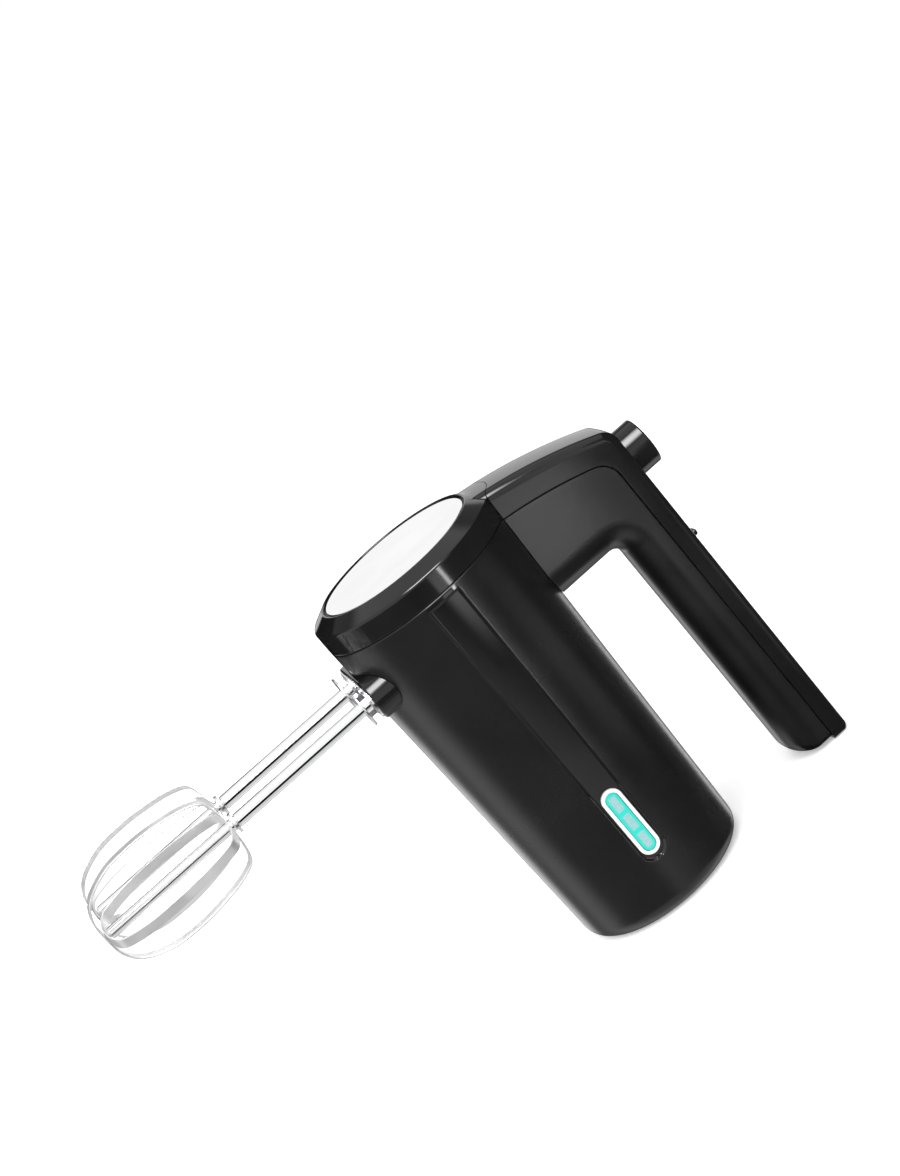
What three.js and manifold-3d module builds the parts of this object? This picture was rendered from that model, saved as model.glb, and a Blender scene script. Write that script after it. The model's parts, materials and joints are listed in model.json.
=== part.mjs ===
// A cordless hand mixer with two beaters, standing on the bottom of its body and the end of its handle.
// Millimetres, +Z up. The body's axis is Z, the origin is the centre of the base cover's underside, the
// beaters reach out along -X and the handle hooks over towards +X. Left is -Y and right is +Y, as the
// user sees them with the beaters pointing down.
import * as THREE from "three";
import { mergeVertices } from "three/addons/utils/BufferGeometryUtils.js";
import Module from "manifold-3d";

const wasm = await Module();
wasm.setup();

// ---------- driving dimensions ----------

const ROUND = 40; // facets round the body
const GAP = 0.3; // between neighbouring pieces
const WALL = 2.2; // moulded casings

const BODY = {
  baseR: 41.8, // cone radius just above the base edge
  baseFillet: 7.9,
  topR: 47.5, // cone radius at the seam
  seamZ: 178, // top of the body shell
  ledgeR: 27.5, // inner edge of the ledge that the base cover is screwed to
  coverR: 32.7, // base cover
};
const RING = { creaseZ: 188.5, topZ: 193.6, discR: 38.8, tongueR: 25.66, tongueX: 24.74 };
const CHANNEL = { topZ: 175.6, topHalf: 8.5, lowHalf: 7, lowZ: 31.9, depth: 0.9 };
const LAMP = { z: 46.3, length: 36, width: 10, rim: 2.1 };

const HANDLE = {
  half: 16.5, // half its width
  outerX: 106, // outer face at the top
  footX: 105.2, // outer face at the foot
  seamX: 95.8, // seam between the grip and its cover
  innerX: 77.9, // inner face of the grip post
  armZ: 131, // underside of the arm
  outerRound: 4.5, // rounding of the cover's long edges
  innerRound: 14.5, // rounding of the grip's long edges
};

const BEATER = {
  y: 18.25, // each beater's distance from the middle
  z: 156,
  shaftR: 3.25,
  coreR: 2.8, // the shaft inside the head
  tipX: -195.4,
  rearX: -18,
  collarX: -53.6,
  collarR: 9.1,
  ferruleX: -127,
  bladeWidth: 5,
  bladeThick: 1,
  turn: { left: -8, right: 40 }, // degrees from +Z towards +Y of one blade
};

const WORM = { pitch: Math.PI, pitchR: 4.25, rootR: 3.1, crestR: 5, lowZ: 146, highZ: 166 };
const WHEEL = { teeth: 28, pitchR: 14, rootR: 12.8, tipR: 14.75, half: 4 };
const MOTOR = { r: 18, lowZ: 82, highZ: 134, shaftR: 1.6 };
const SPINDLE = { r: 6, boreR: 3.6, frontX: -50, rearX: 9.6 };
const EJECT = { z: 157.3, knobR: 11.55, knobX: 116.6, rodR: 3, travel: 7 };
const SLIDER = { z: 111, travel: 12 };
const CELL = { r: 9.2, length: 65, spread: 11.6, lowZ: 9.2 };
const CHARGE = { z: 18, width: 9.2, height: 3.4 }; // the charge socket's sleeve
const LEAD_HOLE = { z: 142, width: 14, height: 5 }; // for the two leads from body to handle
const BOSS = { endR: 10, faceX: -48.5, neckR: 8.8, boreR: 7.6, innerX: -35.5 };

// ---------- making and joining solids ----------

function solid(geometry) {
  const g = geometry.clone();
  g.deleteAttribute("normal");
  g.deleteAttribute("uv");
  const merged = mergeVertices(g, 1e-4);
  const mesh = new wasm.Mesh({
    numProp: 3,
    vertProperties: new Float32Array(merged.attributes.position.array),
    triVerts: new Uint32Array(merged.index.array),
  });
  return new wasm.Manifold(mesh);
}

function geometryOf(made) {
  const mesh = made.getMesh();
  const g = new THREE.BufferGeometry();
  g.setAttribute("position", new THREE.BufferAttribute(new Float32Array(mesh.vertProperties), 3));
  g.setIndex(new THREE.BufferAttribute(new Uint32Array(mesh.triVerts), 1));
  const flat = g.toNonIndexed();
  flat.computeVertexNormals();
  return flat;
}

const joined = (...parts) => parts.reduce((all, part) => all.add(part));

// A solid of revolution about Z from [radius, z] points, listed anticlockwise as seen with r to the right.
function lathe(points, segments = 48) {
  const outline = [...points, points[0]].map(([r, z]) => new THREE.Vector2(r, z));
  return solid(new THREE.LatheGeometry(outline, segments).rotateX(Math.PI / 2));
}

// A plain or hollow round bar between two places on Z.
function tube(outerR, innerR, lowZ, highZ, segments = 18) {
  return lathe([[innerR, lowZ], [outerR, lowZ], [outerR, highZ], [innerR, highZ]], segments);
}

function rod(radius, lowZ, highZ, segments = 24) {
  const height = highZ - lowZ;
  const bar = new THREE.CylinderGeometry(radius, radius, height, segments).rotateX(Math.PI / 2);
  return solid(bar.translate(0, 0, lowZ + height / 2));
}

function box([x0, x1], [y0, y1], [z0, z1]) {
  const b = new THREE.BoxGeometry(x1 - x0, y1 - y0, z1 - z0);
  return solid(b.translate((x0 + x1) / 2, (y0 + y1) / 2, (z0 + z1) / 2));
}

// Turns a solid made along +Z so that it lies along +X, through y and z.
const alongX = (part, y, z) => part.rotate([0, 90, 0]).translate([0, y, z]);

// A prism of an outline drawn in (y, z) that runs along X from x0 to x1.
function prismX(outline, x0, x1) {
  const g = new THREE.ExtrudeGeometry(outline, { depth: x1 - x0, bevelEnabled: false, curveSegments: 8 });
  const m = new THREE.Matrix4().set(0, 0, 1, x0, 1, 0, 0, 0, 0, 1, 0, 0, 0, 0, 0, 1);
  return solid(g.applyMatrix4(m));
}

// A prism of an outline drawn in (x, z) that runs along Y from y0 to y1.
function prismY(outline, y0, y1) {
  const g = new THREE.ExtrudeGeometry(outline, { depth: y1 - y0, bevelEnabled: false, curveSegments: 8 });
  return solid(g.rotateX(Math.PI / 2).translate(0, y1, 0));
}

// A stadium: a bar with round ends, length measured along its first or second direction.
function stadium(cx, cy, length, width, upright) {
  const r = width / 2;
  const reach = length / 2 - r;
  const s = new THREE.Shape();
  const [from, to] = upright ? [0, Math.PI] : [-Math.PI / 2, Math.PI / 2];
  const [dx, dy] = upright ? [0, reach] : [reach, 0];
  s.absarc(cx + dx, cy + dy, r, from, to, false);
  s.absarc(cx - dx, cy - dy, r, from + Math.PI, to + Math.PI, false);
  return s;
}

// ---------- materials ----------

function material(colour, roughness, metalness = 0) {
  return new THREE.MeshStandardMaterial({ color: colour, roughness, metalness });
}

const M = {
  gloss: material("#1b1b1c", 0.18),
  satin: material("#343435", 0.5),
  matte: material("#2a2a2b", 0.7),
  chrome: material("#e9eaec", 0.08, 1),
  steel: material("#b4b7ba", 0.3, 1),
  brass: material("#c9a24a", 0.35, 1),
  white: material("#f2f3f3", 0.35),
  lens: material("#2bd4c8", 0.25),
  nylon: material("#e8e4d8", 0.5),
  wheel: material("#d9d2b8", 0.5),
  cell: material("#3f7fb5", 0.45),
  board: material("#1f5c38", 0.55),
  red: material("#b3261e", 0.5),
  black: material("#151515", 0.5),
};

const mixer = new THREE.Group();

function node(name, part, look) {
  const mesh = new THREE.Mesh(geometryOf(part), look);
  mesh.name = name;
  mixer.add(mesh);
}

const SIDES = [
  { name: "left", y: -BEATER.y, turn: BEATER.turn.left },
  { name: "right", y: BEATER.y, turn: BEATER.turn.right },
];

// ---------- body ----------

const bodySlope = (BODY.topR - BODY.baseR) / (BODY.seamZ - BODY.baseFillet);
const bodyR = (z) => BODY.baseR + bodySlope * (z - BODY.baseFillet);

// Points on a quarter-round corner of the given radius, from one angle to another, in degrees.
function arc(cx, cz, radius, from, to, steps = 5) {
  return Array.from({ length: steps + 1 }, (_, i) => {
    const a = THREE.MathUtils.degToRad(from + ((to - from) * i) / steps);
    return [cx + radius * Math.cos(a), cz + radius * Math.sin(a)];
  });
}

// The body's outline moved in by a distance, as a solid plug from lowZ up to highZ.
function bodyPlug(inset, lowZ, highZ) {
  const low = Math.max(lowZ, BODY.baseFillet);
  return lathe([[0, lowZ], [bodyR(low) - inset, low], [bodyR(highZ) - inset, highZ], [0, highZ]], ROUND);
}

// The layer of the body between two depths below its surface.
function bodyLayer(outer, inner, lowZ, highZ) {
  const ring = [
    [bodyR(lowZ) - inner, lowZ],
    [bodyR(lowZ) - outer, lowZ],
    [bodyR(highZ) - outer, highZ],
    [bodyR(highZ) - inner, highZ],
  ];
  return lathe(ring, ROUND);
}

// The charge lamp's outline, as a prism that crosses the body's front wall.
function lampPrism(grow) {
  return prismY(stadium(0, LAMP.z, LAMP.length + grow, LAMP.width + grow, true), -60, -20);
}

// The outline round both beater sockets.
function pairStadium(radius) {
  return stadium(0, BEATER.z, 2 * (BEATER.y + radius), 2 * radius, false);
}

// Everything beyond the body's surface, which trims what meets it from outside.
const clearOfBody = (part) => part.subtract(bodyPlug(-GAP, -1, BODY.seamZ + 30));

function bodyShell() {
  const f = BODY.baseFillet;
  const innerR = bodyR(f) - WALL;
  const shell = lathe(
    [
      [BODY.coverR + GAP, 0],
      ...arc(BODY.baseR - f, f, f, -90, 0, 4),
      [BODY.topR, BODY.seamZ],
      [BODY.topR - WALL, BODY.seamZ],
      [innerR, f + 3],
      [innerR - 4, 6.5],
      [BODY.ledgeR, 6.5],
      [BODY.ledgeR, 2.7],
      [BODY.coverR + GAP, 2.7],
    ],
    ROUND,
  );
  const channel = new THREE.Shape();
  channel.moveTo(-CHANNEL.topHalf, CHANNEL.topZ);
  channel.lineTo(-CHANNEL.lowHalf, CHANNEL.lowZ);
  channel.absarc(0, CHANNEL.lowZ, CHANNEL.lowHalf, Math.PI, 2 * Math.PI, false);
  channel.lineTo(CHANNEL.topHalf, CHANNEL.topZ);
  const channelCut = prismY(channel, -60, 0).intersect(bodyLayer(-2, CHANNEL.depth, 10, BODY.seamZ));
  const bossHole = prismX(pairStadium(BOSS.neckR + GAP), -60, -30);
  const rodHole = alongX(rod(4.2, 30, 60), 0, EJECT.z);
  const leadHole = prismX(stadium(0, LEAD_HOLE.z, LEAD_HOLE.width, LEAD_HOLE.height, false), 30, 60);
  const chargeHole = prismX(stadium(0, CHARGE.z, CHARGE.width + 0.8, CHARGE.height + 0.8, false), 30, 60);
  const cuts = [channelCut, lampPrism(2 * GAP), bossHole, rodHole, leadHole, chargeHole];
  return cuts.reduce((s, cut) => s.subtract(cut), screwHoles(shell, 1.7));
}

// The three base screws stand on one circle, clear of the channel.
const SCREW_CIRCLE = 30;
const screwPlaces = [30, 150, 270].map((deg) => {
  const a = THREE.MathUtils.degToRad(deg);
  return [SCREW_CIRCLE * Math.cos(a), SCREW_CIRCLE * Math.sin(a)];
});

function screwHoles(part, radius, lowZ = -1, highZ = 10) {
  const hole = rod(radius, lowZ, highZ, 10);
  return screwPlaces.reduce((s, [x, y]) => s.subtract(hole.translate([x, y, 0])), part);
}

function baseCover() {
  const disc = lathe([[0, 0], [BODY.coverR, 0], [BODY.coverR, 2.4], [0, 2.4]], ROUND);
  return screwHoles(screwHoles(disc, 1.9), 3.1, -1, 1.4);
}

function baseScrew() {
  return lathe([[0, 0.2], [2.7, 0.2], [2.7, 1.1], [1.3, 1.5], [1.3, 5.6], [0, 6.3]], 12);
}

node("body_shell", bodyShell(), M.gloss);
node("base_cover", baseCover(), M.satin);
screwPlaces.forEach(([x, y], i) => {
  node(`base_screw_${i + 1}`, baseScrew().translate([x, y, 0]), M.steel);
});

// ---------- handle outline ----------

const armTopZ = (x) => 190.5 - 0.17 * (x - 50) - 0.00213 * (x - 50) ** 2;
const armSeamZ = (x) => 176.2 - 0.11 * (x - 44) - 0.00236 * (x - 44) ** 2;

// Each corner is {x, z, r, side}: r rounds it, and side says how the edge that leaves it moves in.
function coverCorners() {
  const top = [36, 50, 64, 78, 92].map((x) => ({ x, z: armTopZ(x), r: 0, side: "outer" }));
  const seam = [86, 76, 64, 50, 36].map((x) => ({ x, z: armSeamZ(x) + GAP, r: 0, side: "seam" }));
  return [
    ...top,
    { x: HANDLE.outerX, z: armTopZ(HANDLE.outerX), r: 8, side: "outer" },
    { x: HANDLE.footX, z: 0, r: 3, side: "foot" },
    { x: HANDLE.seamX + GAP, z: 0, r: 0, side: "seam" },
    { x: HANDLE.seamX + GAP, z: armSeamZ(HANDLE.seamX) + GAP, r: 10, side: "seam" },
    ...seam,
  ].map((c, i, all) => (i === all.length - 1 ? { ...c, side: "end" } : c));
}

function gripCorners() {
  const seam = [36, 50, 64, 76, 86].map((x) => ({ x, z: armSeamZ(x), r: 0, side: "seam" }));
  return [
    ...seam,
    { x: HANDLE.seamX, z: armSeamZ(HANDLE.seamX), r: 10, side: "seam" },
    { x: HANDLE.seamX, z: 0, r: 0, side: "foot" },
    { x: HANDLE.innerX, z: 0, r: 11.5, side: "inner" },
    { x: HANDLE.innerX, z: HANDLE.armZ, r: 5.5, side: "inner" },
    { x: 36, z: HANDLE.armZ, r: 0, side: "end" },
  ];
}

// The outline with every edge moved in by its side's distance, as [x, z] points. The corners run
// clockwise as seen from -Y, so the way in is to the right of each edge.
function movedOutline(corners, distance) {
  const n = corners.length;
  const edges = corners.map((c, i) => {
    const next = corners[(i + 1) % n];
    const along = new THREE.Vector2(next.x - c.x, next.z - c.z).normalize();
    const inward = new THREE.Vector2(along.y, -along.x);
    const from = new THREE.Vector2(c.x, c.z).addScaledVector(inward, distance[c.side]);
    return { along, from, inward, d: distance[c.side] };
  });
  return corners.flatMap((c, i) => {
    const before = edges[(i + n - 1) % n];
    const after = edges[i];
    const turn = before.along.cross(after.along);
    const offset = after.from.clone().sub(before.from);
    const meet = before.from.clone().addScaledVector(before.along, offset.cross(after.along) / turn);
    if (!c.r) return [[meet.x, meet.y]];
    const convex = turn < 0;
    const moved = Math.max(before.d, after.d);
    const r = Math.max(convex ? c.r - moved : c.r + moved, 0.4);
    const half = Math.acos(THREE.MathUtils.clamp(before.along.dot(after.along), -1, 1)) / 2;
    const start = meet.clone().addScaledVector(before.along, -r * Math.tan(half));
    const side = convex ? 1 : -1;
    const centre = start.clone().addScaledVector(before.inward, side * r);
    const steps = 5;
    return Array.from({ length: steps + 1 }, (_, k) => {
      const a = -side * 2 * half * (k / steps);
      const p = start.clone().rotateAround(centre, a);
      return [p.x, p.y];
    });
  });
}

// A solid whose outline shrinks towards both sides, so that its long edges are rounded.
function handleLoft(corners, round, inset) {
  const half = HANDLE.half - inset;
  const steps = 4;
  const levels = [];
  for (let i = 0; i <= steps; i += 1) {
    const a = (Math.PI / 2) * (1 - i / steps);
    levels.push([-(half - round) - round * Math.sin(a), round * (1 - Math.cos(a))]);
  }
  const mirrored = levels.map(([y, d]) => [-y, d]).reverse();
  const all = [...levels, ...mirrored];
  const rings = all.map(([y, d]) => {
    const open = inset ? -2 : 0;
    const distance = { outer: inset + d, inner: inset + d, foot: inset + 0.3 * d, seam: open, end: open };
    return movedOutline(corners, distance).map(([x, z]) => new THREE.Vector3(x, y, z));
  });
  return stitched(rings);
}

// Joins outlines of equal length, one after another, into one closed solid with flat ends.
function stitched(rings) {
  const n = rings[0].length;
  const positions = rings.flatMap((ring) => ring.flatMap((p) => [p.x, p.y, p.z]));
  const index = [];
  for (let k = 0; k < rings.length - 1; k += 1) {
    for (let i = 0; i < n; i += 1) {
      const a = k * n + i;
      const b = k * n + ((i + 1) % n);
      index.push(a, b, b + n, a, b + n, a + n);
    }
  }
  const ends = [[rings[0], 0, false], [rings.at(-1), (rings.length - 1) * n, true]];
  for (const [ring, start, flip] of ends) {
    const flat = ring.map((p) => new THREE.Vector2(p.x, p.z));
    for (const [a, b, c] of THREE.ShapeUtils.triangulateShape(flat, [])) {
      index.push(start + a, start + (flip ? c : b), start + (flip ? b : c));
    }
  }
  const g = new THREE.BufferGeometry();
  g.setAttribute("position", new THREE.Float32BufferAttribute(positions, 3));
  g.setIndex(index);
  return solid(g);
}

// ---------- nose ring with its tongue, and the handle's two halves ----------

// The tongue and the cover part along an upright cylinder of this radius.
function tonguePost(grow) {
  return rod(RING.tongueR + grow, BODY.seamZ - 4, 210, 48).translate([RING.tongueX, 0, 0]);
}

function noseRing() {
  const ring = lathe(
    [
      [33, 188],
      [43.2, 184],
      [43.2, 173],
      [44.9, 173],
      [44.9, BODY.seamZ + GAP],
      [BODY.topR, BODY.seamZ + GAP],
      [BODY.topR, RING.creaseZ - 0.8],
      [BODY.topR - 0.4, RING.creaseZ],
      [RING.discR + 0.8, RING.topZ - 0.1],
      [RING.discR, RING.topZ - 0.6],
      [RING.discR, 190.4],
      [33, 190.4],
    ],
    ROUND,
  );
  const arm = handleLoft(coverCorners(), HANDLE.outerRound, 0);
  const tongue = arm
    .intersect(tonguePost(0))
    .intersect(box([36, 60], [-20, 20], [BODY.seamZ + GAP, 200]))
    .subtract(rod(RING.discR + 1.5, 170, 210, ROUND));
  return ring.add(tongue);
}

function noseDisc() {
  const r = RING.discR - 0.8;
  return lathe([[0, 190.7], [r, 190.7], [r, 192.2], [r - 0.4, 192.6], [0, 192.6]], ROUND);
}

const SWITCH = { x: [92.6, 100.6], y: [-5, 5], z: [98, 122] };

function handleCover() {
  const outer = handleLoft(coverCorners(), HANDLE.outerRound, 0);
  const hollow = handleLoft(coverCorners(), HANDLE.outerRound - WALL, WALL);
  const window = box([100, 110], [-4.7, 4.7], [SLIDER.z - 7.5, SLIDER.z + 7.5 + SLIDER.travel]);
  const knobHole = alongX(rod(EJECT.knobR + 0.35, 98, 110, 32), 0, EJECT.z);
  const cover = outer.subtract(hollow).subtract(window).subtract(knobHole);
  return clearOfBody(cover).subtract(tonguePost(GAP));
}

function gripShell() {
  const outer = handleLoft(gripCorners(), HANDLE.innerRound, 0);
  const hollow = handleLoft(gripCorners(), HANDLE.innerRound - WALL, WALL);
  const guide = box([60, 62.5], [-13.5, 13.5], [HANDLE.armZ + 1.5, 168]);
  const inside = handleLoft(gripCorners(), HANDLE.innerRound, 1);
  const rodHole = alongX(rod(3.6, 55, 65, 24), 0, EJECT.z);
  const leadHole = prismX(stadium(0, LEAD_HOLE.z, LEAD_HOLE.width, LEAD_HOLE.height, false), 55, 65);
  const shell = outer.subtract(hollow).add(guide.intersect(inside));
  return clearOfBody(shell.subtract(rodHole).subtract(leadHole));
}

node("nose_ring", noseRing(), M.gloss);
node("nose_disc", noseDisc(), M.chrome);
node("handle_cover", handleCover(), M.gloss);
node("grip_shell", gripShell(), M.satin);

// ---------- beater sockets ----------

// Cuts the same round hole for each beater.
function pairHoles(part, radius, x0, x1, segments = 24) {
  return SIDES.reduce((s, { y }) => s.subtract(alongX(rod(radius, x0, x1, segments), y, BEATER.z)), part);
}

function socketBoss() {
  const collar = clearOfBody(prismX(pairStadium(BOSS.endR), BOSS.faceX, -36));
  const neck = prismX(pairStadium(BOSS.neckR), BOSS.faceX + 1, BOSS.innerX);
  return pairHoles(collar.add(neck), BOSS.boreR, -60, -30);
}

function socketPlate() {
  const plate = prismX(pairStadium(BOSS.endR - 1.4), BOSS.faceX - 0.8, BOSS.faceX - GAP);
  return pairHoles(plate, SPINDLE.r + 0.6, -60, -30);
}

node("socket_boss", socketBoss(), M.gloss);
node("socket_plate", socketPlate(), M.chrome);

// ---------- charge lamp and charge socket ----------

const lampRim = lampPrism(0).subtract(lampPrism(-2 * LAMP.rim));
const lampLens = lampPrism(-2 * LAMP.rim - 2 * GAP);

node("lamp_rim", lampRim.intersect(bodyLayer(0.1, 2.6, 20, 70)), M.white);
node("lamp_lens", lampLens.intersect(bodyLayer(0.5, 2.6, 20, 70)), M.lens);

function lampBoard() {
  const board = box([-7, 7], [-38.2, -36.8], [26, 67]);
  const lights = [-10, 0, 10].map((dz) => {
    const z = LAMP.z + dz;
    return box([-2, 2], [-39.2, -38.1], [z - 2, z + 2]);
  });
  return joined(board, ...lights);
}

node("lamp_board", lampBoard(), M.board);

function chargeSocket() {
  const { z, width, height } = CHARGE;
  const sleeve = prismX(stadium(0, z, width, height, false), 33, 41.6);
  const hollow = prismX(stadium(0, z, width - 1, height - 0.9, false), 34, 45);
  const tongue = box([33.5, 40.5], [-3, 3], [z - 0.3, z + 0.3]);
  return sleeve.subtract(hollow).add(tongue);
}

node("charge_socket", chargeSocket(), M.steel);

// ---------- gearbox frame ----------

const FRAME = { plateZ: [137.3, 140], wallX: [5.4, 8.6], topZ: 171.2, bushR: 7.2, bearingR: 5 };
const MOTOR_SCREW_X = 12.5;

function gearboxFrame() {
  const disc = rod(43, ...FRAME.plateZ, 32);
  const rearWall = box(FRAME.wallX, [-28, 28], [139, FRAME.topZ]);
  const frontPost = box([-19, -16], [-6, 6], [139, FRAME.topZ]);
  const shaftHole = rod(5.6, 135, 145, 20);
  const leadNotch = box([26, 50], [-7, 7], [135, 145]);
  const screwHole = rod(1.7, 135, 145, 12);
  let frame = joined(disc, rearWall, frontPost).subtract(shaftHole).subtract(leadNotch);
  for (const side of [-1, 1]) {
    frame = frame.subtract(screwHole.translate([side * MOTOR_SCREW_X, 0, 0]));
  }
  return pairHoles(frame, FRAME.bushR + 0.4, 2, 12);
}

function gearboxBridge() {
  const plate = box([-19.5, 9], [-8, 8], [FRAME.topZ + GAP, FRAME.topZ + 3.3]);
  return plate.subtract(rod(FRAME.bearingR + 0.35, 165, 180, 24));
}

node("gearbox_frame", gearboxFrame(), M.matte);
node("gearbox_bridge", gearboxBridge(), M.steel);
node("worm_bearing", tube(FRAME.bearingR, 2.1, FRAME.topZ + 0.2, FRAME.topZ + 3.5), M.brass);

for (const { name, y } of SIDES) {
  const [wallFront, wallRear] = FRAME.wallX;
  const front = tube(BOSS.boreR - GAP, SPINDLE.r + GAP, -47.6, -36);
  const rear = tube(FRAME.bushR, SPINDLE.r + GAP, wallFront + 0.1, wallRear - 0.1);
  node(`spindle_bush_front_${name}`, alongX(front, y, BEATER.z), M.brass);
  node(`spindle_bush_rear_${name}`, alongX(rear, y, BEATER.z), M.brass);
}

// ---------- motor and worm ----------

function motorCan() {
  const { r, lowZ, highZ } = MOTOR;
  const top = highZ - 2;
  const profile = [[2.2, top], [r - 1.8, top], [r - 1.8, lowZ + 3], [r, lowZ + 3], [r, highZ]];
  const can = lathe([...profile, [5, highZ], [5, highZ + 3], [2.2, highZ + 3]], 24);
  const magnets = tube(r - 1.6, 11.5, lowZ + 11, highZ - 8, 24);
  const screwHole = rod(1.7, top - 1, highZ + 1, 10);
  const right = screwHole.translate([MOTOR_SCREW_X, 0, 0]);
  const left = screwHole.translate([-MOTOR_SCREW_X, 0, 0]);
  return can.add(magnets).subtract(left).subtract(right);
}

function motorEndBell() {
  const { r, lowZ } = MOTOR;
  const hub = [[2.2, lowZ - 2], [6, lowZ - 2], [6, lowZ]];
  return lathe([...hub, [r, lowZ], [r, lowZ + 2.6], [2.2, lowZ + 2.6]], 24);
}

function wormSolid() {
  const { pitch, pitchR, rootR, crestR, lowZ, highZ } = WORM;
  const turns = (highZ - lowZ - pitch) / pitch;
  const thread = new THREE.BoxGeometry(1, 1, 1, 1, 1, Math.round(turns * 10));
  const p = thread.getAttribute("position");
  const flank = Math.tan(THREE.MathUtils.degToRad(17));
  for (let i = 0; i < p.count; i += 1) {
    const radius = p.getX(i) > 0 ? crestR : rootR - 0.5;
    const angle = -Math.PI / 2 + p.getZ(i) * turns * 2 * Math.PI;
    const thick = 1.3 - 2 * flank * (radius - pitchR);
    const z = BEATER.z + (pitch * (angle + Math.PI / 2)) / (2 * Math.PI) - p.getY(i) * thick;
    p.setXYZ(i, radius * Math.cos(angle), radius * Math.sin(angle), z);
  }
  return solid(thread).add(rod(rootR, lowZ, highZ, 12)).subtract(rod(2, lowZ - 1, highZ + 1, 12));
}

node("motor_can", motorCan(), M.steel);
node("motor_end_bell", motorEndBell(), M.matte);
node("motor_shaft", rod(MOTOR.shaftR, MOTOR.lowZ - 3, FRAME.topZ + 4.4, 16), M.steel);
node("worm", wormSolid(), M.brass);
[-1, 1].forEach((side, i) => {
  const low = MOTOR.highZ - 1.5;
  const head = FRAME.plateZ[1] + GAP;
  const thread = [[0, low], [1.3, low], [1.3, head]];
  const screw = lathe([...thread, [2.6, head], [2.6, head + 1.3], [0, head + 1.7]], 10);
  node(`motor_screw_${i + 1}`, screw.translate([side * MOTOR_SCREW_X, 0, 0]), M.steel);
});

// ---------- worm wheels and spindles ----------

// The wheel's teeth slant with the worm's lead. It is made along X with the middle of a tooth, or of a
// gap, at the given angle from +Y towards +Z.
function wormWheel(angle) {
  const { teeth, pitchR, rootR, tipR, half } = WHEEL;
  const pitchAngle = (2 * Math.PI) / teeth;
  const halfTooth = (radius) => (0.6 - Math.tan(THREE.MathUtils.degToRad(17)) * (radius - pitchR)) / radius;
  const outline = new THREE.Shape();
  for (let i = 0; i < teeth; i += 1) {
    const mid = angle + i * pitchAngle;
    const corners = [[rootR, -1], [tipR, -1], [tipR, 1], [rootR, 1]];
    corners.forEach(([radius, side], k) => {
      const a = mid + side * halfTooth(radius);
      const draw = i || k ? "lineTo" : "moveTo";
      outline[draw](radius * Math.cos(a), radius * Math.sin(a));
    });
  }
  const g = new THREE.ExtrudeGeometry(outline, { depth: 2 * half, steps: 2, bevelEnabled: false });
  const p = g.getAttribute("position");
  const twist = WORM.pitch / (2 * Math.PI * WORM.pitchR * pitchR);
  for (let i = 0; i < p.count; i += 1) {
    const x = p.getZ(i) - half;
    const turned = new THREE.Vector2(p.getX(i), p.getY(i)).rotateAround(new THREE.Vector2(), twist * x);
    p.setXYZ(i, x, turned.x, turned.y);
  }
  const hub = alongX(rod(9, half - 1, half + 1.2, 24), 0, 0);
  return solid(g).add(hub).subtract(alongX(rod(SPINDLE.r + 0.35, -10, 10, 24), 0, 0));
}

// The front end of a spindle is slotted across for the beater's two drive wings.
function spindle(turn) {
  const { r, boreR, frontX, rearX } = SPINDLE;
  const slot = box([frontX - 1, -46.5], [-0.95, 0.95], [-r - 1, r + 1]).rotate([-turn, 0, 0]);
  return alongX(tube(r, boreR, frontX, rearX), 0, 0).subtract(slot);
}

function ejectPin() {
  const front = BEATER.rearX + GAP;
  const profile = [[0, front], [3, front], [3, 17], [4.2, 17], [4.2, 19.6], [0, 19.6]];
  return alongX(lathe(profile, 16), 0, 0);
}

for (const { name, y, turn } of SIDES) {
  const halfPitch = Math.PI / WHEEL.teeth;
  const angle = name === "left" ? halfPitch : Math.PI;
  node(`worm_wheel_${name}`, wormWheel(angle).translate([0, y, BEATER.z]), M.wheel);
  node(`spindle_${name}`, spindle(turn).translate([0, y, BEATER.z]), M.steel);
  node(`eject_pin_${name}`, ejectPin().translate([0, y, BEATER.z]), M.steel);
}

// ---------- eject button, rod, yoke and spring ----------

const YOKE = { x: [20, 23], halfY: 22.5 };
const FLANGE_X = 88;

function ejectKnob() {
  const { knobR, knobX } = EJECT;
  const cap = lathe([[0, 102.4], [knobR, 102.4], [knobR, knobX - 0.9], [knobR - 0.9, knobX], [0, knobX]], 40);
  const socket = rod(EJECT.rodR + 0.35, 100, 108.3, 20);
  return alongX(cap.subtract(socket), 0, EJECT.z);
}

function ejectRod() {
  const end = YOKE.x[1] + GAP;
  const { rodR } = EJECT;
  const profile = [[0, end], [rodR, end], [rodR, FLANGE_X], [5.5, FLANGE_X], [5.5, FLANGE_X + 2]];
  return alongX(lathe([...profile, [rodR, FLANGE_X + 2], [rodR, 108], [0, 108]], 20), 0, EJECT.z);
}

function ejectYoke() {
  const bar = box(YOKE.x, [-YOKE.halfY, YOKE.halfY], [151.5, 161.5]);
  return bar.add(alongX(tube(5, EJECT.rodR + 0.4, 22, 27, 20), 0, EJECT.z));
}

class Helix extends THREE.Curve {
  constructor(radius, from, to, turns) {
    super();
    Object.assign(this, { radius, from, to, turns });
  }

  getPoint(t, target = new THREE.Vector3()) {
    const a = 2 * Math.PI * this.turns * t;
    const x = THREE.MathUtils.lerp(this.from, this.to, t);
    return target.set(x, this.radius * Math.cos(a), this.radius * Math.sin(a));
  }
}

// A round wire swept along a curve.
function wire(curve, radius, steps, sides = 6) {
  const section = new THREE.Shape();
  for (let i = 0; i < sides; i += 1) {
    const a = (2 * Math.PI * i) / sides;
    section[i ? "lineTo" : "moveTo"](radius * Math.cos(a), radius * Math.sin(a));
  }
  return solid(new THREE.ExtrudeGeometry(section, { steps, extrudePath: curve, bevelEnabled: false }));
}

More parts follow.
